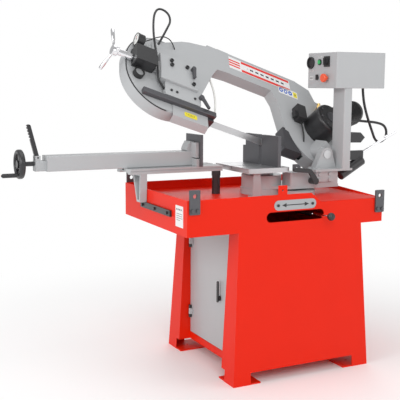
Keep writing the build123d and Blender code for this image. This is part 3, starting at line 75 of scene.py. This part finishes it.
def shader(name, colour, rough, metal=0.0, coat=0.0, grain=0.0, grain_scale=300.0, mottle=0.0,
           stretch=(1, 1, 1)):
    """Principled material.  grain is the height of a fine noise bump in metres, mottle a slow change of
    roughness and shade over the object, and stretch draws the noise out along an axis, as brushing does."""
    made = bpy.data.materials.new(name)
    made.use_nodes = True
    tree = made.node_tree
    out = tree.nodes["Principled BSDF"]
    out.inputs["Base Color"].default_value = (*colour, 1)
    out.inputs["Roughness"].default_value = rough
    out.inputs["Metallic"].default_value = metal
    out.inputs["Coat Weight"].default_value = coat
    out.inputs["Coat Roughness"].default_value = 0.08
    where = tree.nodes.new("ShaderNodeTexCoord")
    placed = tree.nodes.new("ShaderNodeMapping")
    placed.inputs["Scale"].default_value = stretch
    tree.links.new(where.outputs["Object"], placed.inputs["Vector"])
    if mottle:
        cloud = tree.nodes.new("ShaderNodeTexNoise")
        cloud.inputs["Scale"].default_value = 9.0
        cloud.inputs["Detail"].default_value = 6.0
        spread = tree.nodes.new("ShaderNodeMapRange")
        spread.inputs["To Min"].default_value = rough - mottle
        spread.inputs["To Max"].default_value = rough + mottle
        tree.links.new(placed.outputs["Vector"], cloud.inputs["Vector"])
        tree.links.new(cloud.outputs["Fac"], spread.inputs["Value"])
        tree.links.new(spread.outputs["Result"], out.inputs["Roughness"])
        shade = tree.nodes.new("ShaderNodeMix")
        shade.data_type = "RGBA"
        shade.inputs["A"].default_value = (*[c * (1 - mottle) for c in colour], 1)
        shade.inputs["B"].default_value = (*[min(1, c * (1 + mottle)) for c in colour], 1)
        tree.links.new(cloud.outputs["Fac"], shade.inputs["Factor"])
        tree.links.new(shade.outputs["Result"], out.inputs["Base Color"])
    if grain:
        noise = tree.nodes.new("ShaderNodeTexNoise")
        noise.inputs["Scale"].default_value = grain_scale
        noise.inputs["Detail"].default_value = 4.0
        bump = tree.nodes.new("ShaderNodeBump")
        bump.inputs["Distance"].default_value = grain
        bump.inputs["Strength"].default_value = 0.6
        tree.links.new(placed.outputs["Vector"], noise.inputs["Vector"])
        tree.links.new(noise.outputs["Fac"], bump.inputs["Height"])
        tree.links.new(bump.outputs["Normal"], out.inputs["Normal"])
    return made


floor_mesh = bpy.data.meshes.new("floor")
floor_mesh.from_pydata([(-14, -14, 0), (14, -14, 0), (14, 14, 0), (-14, 14, 0)], [], [(0, 1, 2, 3)])
floor = bpy.data.objects.new("floor", floor_mesh)
bpy.context.scene.collection.objects.link(floor)
floor_white = shader("floor_white", (0.98, 0.98, 0.98), 0.7)
floor_mesh.materials.append(floor_white)
# the floor turns to plain white light away from the machine, so that no horizon is seen
paper = floor_white.node_tree
place = paper.nodes.new("ShaderNodeTexCoord")
away = paper.nodes.new("ShaderNodeVectorMath")
away.operation = "LENGTH"
fade = paper.nodes.new("ShaderNodeMapRange")
fade.interpolation_type = "SMOOTHSTEP"
fade.inputs["From Min"].default_value = 0.55
fade.inputs["From Max"].default_value = 2.2
glow = paper.nodes.new("ShaderNodeEmission")
blend = paper.nodes.new("ShaderNodeMixShader")
paper.links.new(place.outputs["Object"], away.inputs[0])
paper.links.new(away.outputs["Value"], fade.inputs["Value"])
paper.links.new(fade.outputs["Result"], blend.inputs["Fac"])
paper.links.new(paper.nodes["Principled BSDF"].outputs["BSDF"], blend.inputs[1])
paper.links.new(glow.outputs["Emission"], blend.inputs[2])
paper.links.new(blend.outputs["Shader"], paper.nodes["Material Output"].inputs["Surface"])
floor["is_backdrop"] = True
world = bpy.data.worlds.new("studio")
bpy.context.scene.world = world
world.use_nodes = True
# the camera sees plain white, and the machine is lit by half as much
sky = world.node_tree
sky.nodes["Background"].inputs["Color"].default_value = (1, 1, 1, 1)
seen_by = sky.nodes.new("ShaderNodeLightPath")
brightness = sky.nodes.new("ShaderNodeMapRange")
brightness.inputs["To Min"].default_value = 0.50
brightness.inputs["To Max"].default_value = 1.0
sky.links.new(seen_by.outputs["Is Camera Ray"], brightness.inputs["Value"])
sky.links.new(brightness.outputs["Result"], sky.nodes["Background"].inputs["Strength"])
lamps = (
    ("key", (-1.6, -3.8, 3.0), 62, 2.0),
    ("left", (-3.8, -0.6, 2.2), 50, 2.0),
    ("fill", (2.8, -3.2, 2.0), 24, 2.4),
    ("top", (0.0, 0.2, 4.2), 34, 3.0),
    ("rim", (1.5, 3.2, 2.6), 22, 2.0),
)
lit_middle = Vector((0, 0, 0.8))
for lamp_name, place, watts, size in lamps:
    lamp = bpy.data.objects.new(lamp_name, bpy.data.lights.new(lamp_name, "AREA"))
    bpy.context.scene.collection.objects.link(lamp)
    lamp.data.energy, lamp.data.size = watts, size
    aim = (lit_middle - Vector(place)).to_track_quat("-Z", "Y").to_matrix().to_4x4()
    lamp.matrix_world = Matrix.Translation(place) @ aim

# ---------------------------------------------------------------- frame of the bow
# The bow leans back and stands above level.  u runs along the blade, v up and back in the plane of
# the wheels and w out to the front, all in metres from the centre of the drive wheel.
bow_angle, lean = radians(18.6), radians(40)
along = Vector((cos(bow_angle), 0, -sin(bow_angle)))
square_up = Vector((sin(bow_angle), 0, cos(bow_angle)))
up_back = square_up * cos(lean) + Vector((0, 1, 0)) * sin(lean)
front = along.cross(up_back)
pivot = Vector((0.300, 0, 0.936))
band_r, blade_y, blade_drop, drive_u, idler_u = 0.170, 0.065, 0.037, 0.038, -0.865
drive_centre = (pivot + along * drive_u + square_up * (band_r * cos(lean) - blade_drop)
                + Vector((0, blade_y + band_r * sin(lean), 0)))


def at_bow(u, v, w):
    """Point of the machine at the bow's u, v, w in metres."""
    return drive_centre + along * u + up_back * v + front * w


def on_bow(*places):
    """The bow's points given in millimetres, as points of the machine in metres."""
    return [at_bow(*(c / 1000 for c in place)) for place in places]


# ---------------------------------------------------------------- hoses and cables
# Black ribbed conduits, thin black cables and one pale coolant hose, each pushed into its gland or
# fitting at both ends. The rubber carries only a fine noise bump.
rubber = shader("rubber_black", (0.018, 0.018, 0.019), 0.5, grain=0.0004, grain_scale=500)
conduit_rubber = shader("conduit_black", (0.022, 0.022, 0.024), 0.42, grain=0.0003, grain_scale=700)
hose_pale = shader("hose_pale", (0.78, 0.78, 0.75), 0.35, coat=0.3)
lead_runs = {
    "bow_conduit": (0.010, "limp", conduit_rubber, "bow", on_bow(
        (-874, -116.5, 45), (-916, -92, 58), (-922, -50, 70), (-924, 20, 72), (-931, 95, 72), (-936, 170, 71),
        (-934, 250, 70), (-926, 314, 70), (-906, 358, 70), (-873, 367, 70), (-845, 347, 70), (-841, 303, 70),
        (-858, 258, 70), (-874, 215, 66), (-889, 172, 48), (-893, 160, 35))),
    "gauge_wire": (0.005, "medium", rubber, "bow", on_bow(
        (-987, 104, 66), (-966, 114, 74), (-931, 142, 84), (-888, 172, 82), (-848, 185, 68), (-820, 178, 50),
        (-806, 170, 36))),
    "coolant_hose": (0.009, "medium", hose_pale, "bow", on_bow(
        (-604, 98, 8), (-594, 45, 14), (-590, -20, 16), (-592, -80, 14), (-598, -128, 8))),
    "switch_cable": (0.008, "medium", rubber, "bow", on_bow(
        (-118, 5, 57), (-116, -30, 57), (-112, -66, 54), (-106, -92, 44), (-103, -108, 34))),
    "loop_conduit": (0.012, "limp", conduit_rubber, "swivel", [Vector(place) / 1000 for place in (
        (496, -42, 1244), (500, -42, 1200), (514, -42, 1146), (536, -42, 1090), (562, -38, 1040),
        (590, -30, 992), (624.8, -26, 982.7), (656, -24, 1000.7), (665.3, -23, 1035.5),
        (647.3, -22, 1066.7), (599, -21, 1079.6), (539, -20, 1085), (484, -20, 1090), (438, -20, 1091),
        (395, -20, 1088))]),
}


for lead, (diameter, stiffness, material, body, route) in lead_runs.items():
    curve = bpy.data.curves.new(lead + "_lead", "CURVE")
    curve.dimensions = "3D"
    spline = curve.splines.new("NURBS")
    spline.points.add(len(route) - 1)
    for knot, place in zip(spline.points, route):
        knot.co = (*place, 1)
    spline.order_u = 3
    spline.use_endpoint_u = True
    spline.resolution_u = 10
    curve.bevel_depth = diameter / 2
    curve.bevel_resolution = 5
    curve.use_fill_caps = True
    curve.materials.append(material)
    piece = bpy.data.objects.new(lead + "_lead", curve)
    bpy.context.scene.collection.objects.link(piece)
    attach(piece, body)
    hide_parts(lead)

# ---------------------------------------------------------------- finishes of the CAD pieces
# Red and light grey powder coat with a faint orange peel, black paint, machined and dark steel,
# chrome, cast iron, plastics and brass.  Each node takes the finish of its slot.
finishes = {
    "red_paint": shader("paint_red", (0.80, 0.016, 0.001), 0.42, coat=0.05, grain=0.0002, grain_scale=420,
                        mottle=0.03),
    "grey_paint": shader("paint_grey", (0.44, 0.45, 0.46), 0.42, coat=0.15, grain=0.0002, grain_scale=380,
                         mottle=0.03),
    "black_paint": shader("paint_black", (0.022, 0.022, 0.024), 0.38, coat=0.25, grain=0.0002,
                          grain_scale=400, mottle=0.05),
    "dark_steel": shader("steel_dark", (0.13, 0.13, 0.14), 0.45, metal=0.75, grain=0.0001, grain_scale=260,
                         mottle=0.08, stretch=(1, 1, 6)),
    "machined_steel": shader("steel_machined", (0.58, 0.58, 0.59), 0.32, metal=0.9, grain=0.0001,
                             grain_scale=300, mottle=0.06, stretch=(1, 8, 1)),
    "chrome": shader("chrome", (0.86, 0.86, 0.88), 0.09, metal=1.0, mottle=0.02),
    "cast_wheel": shader("iron_cast", (0.24, 0.24, 0.25), 0.55, metal=0.5, grain=0.0006, grain_scale=180),
    "black_plastic": shader("plastic_black", (0.025, 0.025, 0.027), 0.45, grain=0.0002,
                            grain_scale=700, mottle=0.04),
    "black_rubber": rubber,
    "pale_hose": hose_pale,
    "brass": shader("brass", (0.76, 0.52, 0.20), 0.24, metal=1.0, mottle=0.04),
    "grey_plate": shader("plate_grey", (0.42, 0.43, 0.44), 0.4, metal=0.4, mottle=0.03),
    "green_plastic": shader("plastic_green", (0.02, 0.45, 0.12), 0.28, coat=0.5, mottle=0.02),
    "red_plastic": shader("plastic_red", (0.86, 0.10, 0.03), 0.30, coat=0.5, mottle=0.02),
}
finishes["red_paint"].node_tree.nodes["Principled BSDF"].inputs["Specular IOR Level"].default_value = 0.18
slot_of = {entry["node"]: entry["material_slot"] for entry in frame["record"]["subparts"]}
for node_name, piece in nodes.items():
    piece.data.materials.clear()
    piece.data.materials.append(finishes[slot_of[node_name]])
    for face in piece.data.polygons:
        face.material_index = 0
    piece.data.shade_smooth()
    piece.data.set_sharp_from_angle(angle=radians(28))

# More than one colour on a node: the black knob, its grey dial and the rubber edge of the idler cover, the
# cap screws, the guide bar of the tray, the arrow of the direction plate, the bright rod of the lock lever
# and the dark lugs.  A face takes an extra finish by where it sits.
to_bow = Matrix((along, up_back, front))
cover_face, seal_r, knob_u, knob_v, dial_w, dial_r = 0.032, 0.1885, -1.002, -0.072, 0.049, 0.0185
housing_v, pocket_v = -0.030, 0.008
plate_face, carrier_face, carrier_v = 0.0714, 0.057, -0.108
tray_wall_x, plate_front_y, skin = -0.550, -0.299, 0.0002
ball_depth, rod_length = 0.034, 0.126


def second_finish(node_name, extra, chosen):
    """Gives the finishes in extra to the faces of a node: chosen(place) answers 0 for the node's own finish
    or the number of an extra one."""
    piece = nodes[node_name]
    for material in extra:
        piece.data.materials.append(material)
    for face in piece.data.polygons:
        face.material_index = chosen(piece.matrix_world @ face.center)


def cover_finish(place):
    """2 on the dial in the knob, 1 on the knob and on the rubber edge, 0 on the painted cover."""
    u, v, w = to_bow @ (place - drive_centre)
    if w > cover_face + skin:
        on_dial = abs(w - dial_w) < 0.0005 and np.hypot(u - knob_u, v - knob_v) < dial_r
        return 2 if on_dial else 1
    rim = min(np.hypot(u - idler_u, v - housing_v), np.hypot(u - idler_u, v - pocket_v))
    return 1 if rim > seal_r and u < idler_u else 0


def screw_finish(place):
    """1 on the cap screws of the guide plate and of the arm's carrier."""
    u, v, w = to_bow @ (place - drive_centre)
    return 1 if w > plate_face + skin or (v < carrier_v and w > carrier_face + skin) else 0


def tray_finish(place):
    """1 on the guide bar, which stands outside the tray's left wall."""
    return 1 if place.x < tray_wall_x - 2 * skin else 0


def arrow_finish(place):
    """1 on the raised arrow and the screws, which stand proud of the direction plate."""
    return 1 if place.y < plate_front_y - skin else 0


def lever_finish(place):
    """1 on the bright rod of the lock lever, 0 on the black ball at its outer end and on its boss."""
    return 1 if lever_end + ball_depth < place.y < lever_end + ball_depth + rod_length else 0


lock_lever = nodes["lock_lever"]
lever_end = min((lock_lever.matrix_world @ corner.co).y for corner in lock_lever.data.vertices)
second_finish("drip_tray", (finishes["black_paint"],), tray_finish)
second_finish("direction_plate", (finishes["black_paint"],), arrow_finish)
second_finish("lock_lever", (finishes["chrome"],), lever_finish)
second_finish("lifting_lugs", (finishes["dark_steel"],), lambda place: 1)
second_finish("idler_cover", (finishes["black_rubber"], finishes["grey_plate"]), cover_finish)
second_finish("guide_plate", (finishes["black_paint"],), screw_finish)

softened = ("stand_frame", "drip_tray", "cabinet_door", "control_box", "jaw_beam", "bow_frame", "vise_bed",
            "guide_plate", "tension_block", "swivel_arm", "pivot_bracket", "table", "fixed_jaws",
            "jaw_blocks")
for node_name in softened:
    edge = nodes[node_name].modifiers.new("edges", "BEVEL")
    edge.width = 0.0012
    edge.segments = 2
    edge.limit_method = "ANGLE"
    edge.angle_limit = radians(40)
    edge.harden_normals = True

# ---------------------------------------------------------------- surfaces
# Shared makers of the fine pieces: turned surfaces, swept rings and flat plates, all built as
# closed grids in place, in metres.
def show(name, verts, faces, material, body, uv=None, smooth=True):
    """Makes a mesh object of the vertices and faces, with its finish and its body."""
    mesh = bpy.data.meshes.new(name)
    mesh.from_pydata([tuple(map(float, v)) for v in verts], [], [tuple(map(int, f)) for f in faces])
    if uv is not None:
        layer = mesh.uv_layers.new(name="face")
        corner = np.array([loop.vertex_index for loop in mesh.loops])
        layer.data.foreach_set("uv", np.asarray(uv, np.float32)[corner].ravel())
    mesh.materials.append(material)
    if smooth:
        mesh.shade_smooth()
        mesh.set_sharp_from_angle(angle=radians(32))
    mesh.update()
    piece = bpy.data.objects.new(name, mesh)
    bpy.context.scene.collection.objects.link(piece)
    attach(piece, body)
    return piece


def grid_faces(rows, cols, wrap_rows, start=0):
    """Quads of a grid whose columns close on themselves, and whose rows do too if wrap_rows is set."""
    faces = []
    for r in range(rows if wrap_rows else rows - 1):
        for c in range(cols):
            a, b = start + r * cols + c, start + r * cols + (c + 1) % cols
            down = ((r + 1) % rows) * cols
            faces.append((a, b, start + down + (c + 1) % cols, start + down + c))
    return faces


def turned(origin, axis, profile, sides=48):
    """Surface of revolution.  The profile is (distance along the axis, radius) from end to end, and each
    point goes to origin + axis * distance + (a * cos t + b * sin t) * radius, capped at both ends."""
    axis = Vector(axis).normalized()
    a = axis.orthogonal().normalized()
    b = axis.cross(a)
    t = np.linspace(0, 2 * pi, sides, endpoint=False)
    ring = np.outer(np.cos(t), a) + np.outer(np.sin(t), b)
    verts = np.vstack([np.array(origin) + np.array(axis) * s + ring * r for s, r in profile])
    faces = grid_faces(len(profile), sides, False)
    faces.append(tuple(range(sides))[::-1])
    faces.append(tuple(range((len(profile) - 1) * sides, len(profile) * sides)))
    return verts, faces


def joined(*pieces):
    """Several (vertices, faces) pairs as one."""
    verts, faces, start = [], [], 0
    for v, f in pieces:
        verts.append(np.asarray(v))
        faces += [tuple(i + start for i in face) for face in f]
        start += len(v)
    return np.vstack(verts), faces


def plate(origin, x_dir, y_dir, width, height, thick, corner):
    """Rounded plate centred on origin: an outline of four quarter circles of radius
    corner joined by straights, raised by thick along x_dir x y_dir.  Gives vertices, faces and the 0..1 map
    of its face."""
    x_dir, y_dir = Vector(x_dir).normalized(), Vector(y_dir).normalized()
    out = x_dir.cross(y_dir)
    flat = []
    for k, (sx, sy) in enumerate(((1, 1), (-1, 1), (-1, -1), (1, -1))):
        for step in range(7):
            t = k * pi / 2 + step * pi / 12
            x = sx * (width / 2 - corner) + corner * cos(t)
            y = sy * (height / 2 - corner) + corner * sin(t)
            flat.append((x, y))
    n = len(flat)
    verts = [Vector(origin) + x_dir * x + y_dir * y + out * z for z in (0, thick) for x, y in flat]
    faces = [(i, (i + 1) % n, n + (i + 1) % n, n + i) for i in range(n)]
    faces += [tuple(range(n))[::-1], tuple(range(n, 2 * n))]
    uv = [(x / width + 0.5, y / height + 0.5) for _ in (0, 1) for x, y in flat]
    return np.array([tuple(v) for v in verts]), faces, uv


# ---------------------------------------------------------------- printed labels
# Thin vinyl labels glued to the bow, the guard, the tray and the panel.  Each is a satin film whose
# print is worked out from its own 0..1 map: bands, discs and bars that stand for no words.
def printed(name, ground, marks, rough=0.4):
    """Satin film with marks on it.  A mark is (colour, u0, u1, v0, v1, round): a box, or an ellipse that
    fills the box when round is set, or a row of bars when round is a number of bars."""
    made = shader(name, ground, rough, coat=0.2)
    tree = made.node_tree
    out = tree.nodes["Principled BSDF"]
    place = tree.nodes.new("ShaderNodeUVMap")
    place.uv_map = "face"
    parts = tree.nodes.new("ShaderNodeSeparateXYZ")
    tree.links.new(place.outputs["UV"], parts.inputs["Vector"])

    def calc(kind, *values):
        node = tree.nodes.new("ShaderNodeMath")
        node.operation = kind
        for socket, value in zip(node.inputs, values):
            if isinstance(value, (int, float)):
                socket.default_value = value
            else:
                tree.links.new(value, socket)
        return node.outputs["Value"]

    colour = None
    for ink, u0, u1, v0, v1, shape in marks:
        across_box = calc("MULTIPLY", calc("SUBTRACT", parts.outputs["X"], (u0 + u1) / 2), 2 / (u1 - u0))
        up_box = calc("MULTIPLY", calc("SUBTRACT", parts.outputs["Y"], (v0 + v1) / 2), 2 / (v1 - v0))
        if shape == "disc":
            reach = calc("ADD", calc("POWER", across_box, 2.0), calc("POWER", up_box, 2.0))
            inside = calc("LESS_THAN", reach, 1.0)
        else:
            inside = calc("MULTIPLY", calc("LESS_THAN", calc("ABSOLUTE", across_box), 1.0),
                          calc("LESS_THAN", calc("ABSOLUTE", up_box), 1.0))
            if shape != "box":
                wave = calc("SINE", calc("MULTIPLY", across_box, shape * pi))
                inside = calc("MULTIPLY", inside, calc("GREATER_THAN", wave, -0.35))
        mix = tree.nodes.new("ShaderNodeMix")
        mix.data_type = "RGBA"
        mix.inputs["A"].default_value = (*ground, 1)
        mix.inputs["B"].default_value = (*ink, 1)
        tree.links.new(inside, mix.inputs["Factor"])
        if colour is not None:
            tree.links.new(colour, mix.inputs["A"])
        colour = mix.outputs["Result"]
    tree.links.new(colour, out.inputs["Base Color"])
    return made


white, red, ink = (0.82, 0.82, 0.82), (0.78, 0.03, 0.02), (0.05, 0.05, 0.06)
blue, yellow = (0.02, 0.12, 0.55), (0.85, 0.72, 0.03)
banner = printed("banner_print", white, (
    (red, 0.22, 0.99, 0.76, 0.97, "box"), (red, 0.22, 0.99, 0.03, 0.24, "box"),
    (red, 0.02, 0.20, 0.44, 0.56, "box"), (red, 0.02, 0.20, 0.66, 0.78, "box"),
    (red, 0.02, 0.20, 0.22, 0.34, "box"), (ink, 0.32, 0.90, 0.43, 0.57, 7)))
pictograms = printed("pictogram_print", white, (
    (blue, 0.03, 0.23, 0.20, 0.80, "disc"), (blue, 0.27, 0.47, 0.20, 0.80, "disc"),
    (blue, 0.51, 0.71, 0.20, 0.80, "disc"), (white, 0.09, 0.17, 0.36, 0.64, "disc"),
    (white, 0.33, 0.41, 0.36, 0.64, "box"), (white, 0.57, 0.65, 0.4, 0.6, "disc"),
    (yellow, 0.77, 0.97, 0.12, 0.88, "box"), (ink, 0.84, 0.90, 0.36, 0.64, "disc")))
warning = printed("warning_print", yellow, ((ink, 0.14, 0.86, 0.55, 0.68, 6), (ink, 0.2, 0.8, 0.3, 0.4, 5)))
notice = printed("notice_print", (0.80, 0.80, 0.79), (
    (ink, 0.1, 0.9, 0.78, 0.86, 4), (ink, 0.1, 0.9, 0.6, 0.64, 9),
                 (ink, 0.1, 0.9, 0.5, 0.54, 8), (ink, 0.1, 0.9, 0.4, 0.44, 9), (ink, 0.1, 0.6, 0.3, 0.34, 5)))
legend = printed("legend_print", (0.60, 0.61, 0.61), ((ink, 0.1, 0.9, 0.35, 0.65, 4),))
film = 0.0006
label_w, guard_w, panel_x, tray_x = 0.0351, 0.0366, 0.2999, -0.5501
on_beam, facing_left = (along, up_back), ((0, -1, 0), (0, 0, 1))
# name, middle, directions, width, height, corner, print, body, slot
labels = (
    ("beam_label", at_bow(-0.321, 0.239, label_w), on_beam, 0.378, 0.074, 0.002, banner, "bow", "red_paint"),
    ("safety_label", at_bow(-0.150, 0.190, label_w), on_beam, 0.118, 0.046, 0.004, pictograms, "bow",
     "grey_paint"),
    ("guard_label", at_bow(-0.745, -0.207, guard_w), on_beam, 0.064, 0.024, 0.006, warning, "guide",
     "grey_paint"),
    ("tray_label", (tray_x, -0.225, 0.727), facing_left, 0.072, 0.088, 0.002, notice, "base", "grey_plate"),
    ("socket_legend", (panel_x, 0.104, 1.325), facing_left, 0.040, 0.007, 0.001, legend, "swivel",
     "grey_plate"),
    ("start_legend", (panel_x, 0.033, 1.388), facing_left, 0.030, 0.007, 0.001, legend, "swivel",
     "grey_plate"),
    ("toggle_legend", (panel_x, 0.100, 1.290), facing_left, 0.030, 0.020, 0.001, legend, "swivel",
     "grey_plate"),
)
for label, middle, (right, up), wide, high, corner, material, body, slot_name in labels:
    verts, faces, uv = plate(middle, right, up, wide, high, film, corner)
    show(label, verts, faces, material, body, uv, smooth=False)

# ---------------------------------------------------------------- blade tension
# Polished three-handled star on its sleeve, and the tension gauge: a black cup and a pale dial
# with a red needle printed on it.
screw_w, star_u = 0.049, -1.122
star_centre = at_bow(star_u, 0, screw_w)
star_parts = [turned(star_centre, along, (
    (-0.016, 0.001), (-0.016, 0.010), (-0.012, 0.0215), (-0.009, 0.0238), (0.010, 0.0238), (0.014, 0.019),
    (0.0145, 0.0158), (0.083, 0.0158), (0.0835, 0.008), (0.190, 0.008)))]
for i in range(3):
    turn = radians(12 + 120 * i)
    out = (up_back * cos(turn) + front * sin(turn) - along * 0.18).normalized()
    star_parts.append(turned(star_centre + out * 0.018, out, (
        (0.0, 0.006), (0.030, 0.0056), (0.034, 0.0072), (0.060, 0.0088), (0.080, 0.0090), (0.086, 0.0076),
        (0.0885, 0.004), (0.0890, 0.0005)), 28))
verts, faces = joined(*star_parts)
star = show("tension_handles", verts, faces, finishes["chrome"], "tension")
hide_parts("tension_star")

dial_back = at_bow(-0.986, 0.104, 0.066)
verts, faces = turned(dial_back, -along, (
    (0.0, 0.002), (0.0, 0.022), (0.004, 0.0275), (0.030, 0.0285), (0.032, 0.0290), (0.0375, 0.0290),
    (0.0380, 0.0278), (0.0372, 0.0262), (0.0350, 0.0260)))
stem = turned(at_bow(-1.000, 0.050, 0.066), up_back, ((0, 0.006), (0.030, 0.006)), 24)
verts, faces = joined((verts, faces), stem)
cup = show("gauge_cup", verts, faces, finishes["black_plastic"], "bow")
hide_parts("tension_gauge")
needle_red = (0.7, 0.02, 0.02)
dial_print = printed("dial_print", (0.84, 0.84, 0.82), (
    (ink, 0.14, 0.86, 0.70, 0.80, 6), (needle_red, 0.49, 0.53, 0.42, 0.84, "box"),
    (ink, 0.44, 0.56, 0.44, 0.56, "disc"), (ink, 0.12, 0.2, 0.3, 0.6, 2), (ink, 0.8, 0.88, 0.3, 0.6, 2)))
verts, faces, uv = plate(dial_back - along * 0.0352, front, up_back, 0.0516, 0.0516, 0.0006, 0.0257)
show("gauge_dial", verts, faces, dial_print, "bow", uv, smooth=False)

# ---------------------------------------------------------------- stay chain
# Seven welded round-wire links that hang from a peg on the column, each turned a quarter from the last.
link_w, link_l, link_wire = 0.017, 0.027, 0.005
link_pitch = link_l - 2 * link_wire - 0.0004
peg_x, peg_y, peg_z = 0.396, -0.030, 1.066
chain = [turned((peg_x, peg_y, peg_z), (1, 0, 0), ((0, 0.004), (0.029, 0.004), (0.030, 0.003)), 24)]
for i in range(7):
    middle = np.array((peg_x + 0.022, peg_y, peg_z - 0.0044 - link_l / 2 + link_wire - i * link_pitch))
    side = np.array((1.0, 0, 0) if i % 2 else (0, 1.0, 0))
    t = np.linspace(0, 2 * pi, 40, endpoint=False)
    # centre line of a link: a half circle of radius q at each end of two straight sides
    q, half = (link_w - link_wire) / 2, (link_l - link_w) / 2
    rise = q * np.sin(t) + half * np.sign(np.sin(t + 1e-6))
    line = side * (q * np.cos(t))[:, None] + np.array((0, 0, 1.0)) * rise[:, None]
    ways = np.roll(line, -1, 0) - np.roll(line, 1, 0)
    ways /= np.linalg.norm(ways, axis=1)[:, None]
    flat = np.cross(side, (0, 0, 1.0))
    out = np.cross(ways, flat)
    s = np.linspace(0, 2 * pi, 12, endpoint=False)
    ring = (out[:, None, :] * np.cos(s)[None, :, None] + flat * np.sin(s)[None, :, None]) * link_wire / 2
    chain.append(((middle + line[:, None, :] + ring).reshape(-1, 3), grid_faces(40, 12, True)))
verts, faces = joined(*chain)
links = show("chain_links", verts, faces, finishes["machined_steel"], "swivel")
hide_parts("stay_chain")

# ---------------------------------------------------------------- motor and gearbox trim
# Cast cooling ribs round the black motor, a ring of cap screws on the gearbox face and its oil plug.
gear_w1, gear_r, motor_r, motor_w = 0.150, 0.082, 0.058, 0.100
motor_dir = (along * 0.8 + up_back * 0.6).normalized()
motor_start = at_bow(0, 0, motor_w) + motor_dir * 0.130
profile = []
for i in range(16):
    s = i * 0.0075
    profile += [(s, motor_r - 0.001), (s + 0.0002, motor_r + 0.0045)]
    profile += [(s + 0.0026, motor_r + 0.0045), (s + 0.0028, motor_r - 0.001)]
verts, faces = turned(motor_start, motor_dir, [(-0.0001, 0.03)] + profile + [(0.1155, 0.03)], 72)
show("motor_ribs", verts, faces, finishes["black_paint"], "bow")
screws = []
for i in range(8):
    t = 2 * pi * i / 8 + 0.2
    seat = at_bow((gear_r - 0.020) * cos(t), (gear_r - 0.020) * sin(t), gear_w1 - 0.001)
    screws.append(turned(seat, front, (
        (0, 0.0058), (0.0045, 0.0058), (0.0055, 0.0048), (0.0055, 0.0028), (0.0025, 0.0028)), 20))
oil_plug = ((0, 0.030), (0.0035, 0.030), (0.0045, 0.028))
screws.append(turned(at_bow(0, 0, gear_w1 - 0.001), front, oil_plug, 48))
verts, faces = joined(*screws)
show("gearbox_screws", verts, faces, finishes["dark_steel"], "bow")

# ---------------------------------------------------------------- band saw teeth
# Row of raker-set teeth milled along the free edge of the blade between its two twists: a sawtooth
# whose height is tooth * (1 - phase) over each pitch, set by a third of a millimetre either way.
twist_u0, twist_u1, band_w, band_t = -0.725, -0.140, 0.027, 0.0009
pitch, tooth = 0.006, 0.0032
count = int((twist_u1 - twist_u0) / pitch)
verts, faces = [], []
edge_mid = at_bow(0, -band_r - band_t / 2, 0) - square_up * (band_w / 2)
for i in range(count):
    u = twist_u0 + i * pitch
    lean_out = (0.00035, -0.00035, 0.0)[i % 3]
    for side in (-1, 1):
        for du, dz in ((0, 0.0006), (pitch, 0.0006), (pitch * 0.2, -tooth)):
            y = side * band_t / 2 + (lean_out if dz < 0 else 0)
            verts.append(edge_mid + along * (u + du) + square_up * dz + Vector((0, y, 0)))
    k = i * 6
    faces += [(k, k + 2, k + 1), (k + 3, k + 4, k + 5), (k, k + 3, k + 5, k + 2)]
    faces += [(k + 1, k + 2, k + 5, k + 4), (k, k + 1, k + 4, k + 3)]
show("blade_teeth", [tuple(v) for v in verts], faces, finishes["machined_steel"], "bow",
     smooth=False)

size = {"cad": [list(map(float, v)) for v in cad_box], "visual": [list(map(float, v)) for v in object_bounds()]}
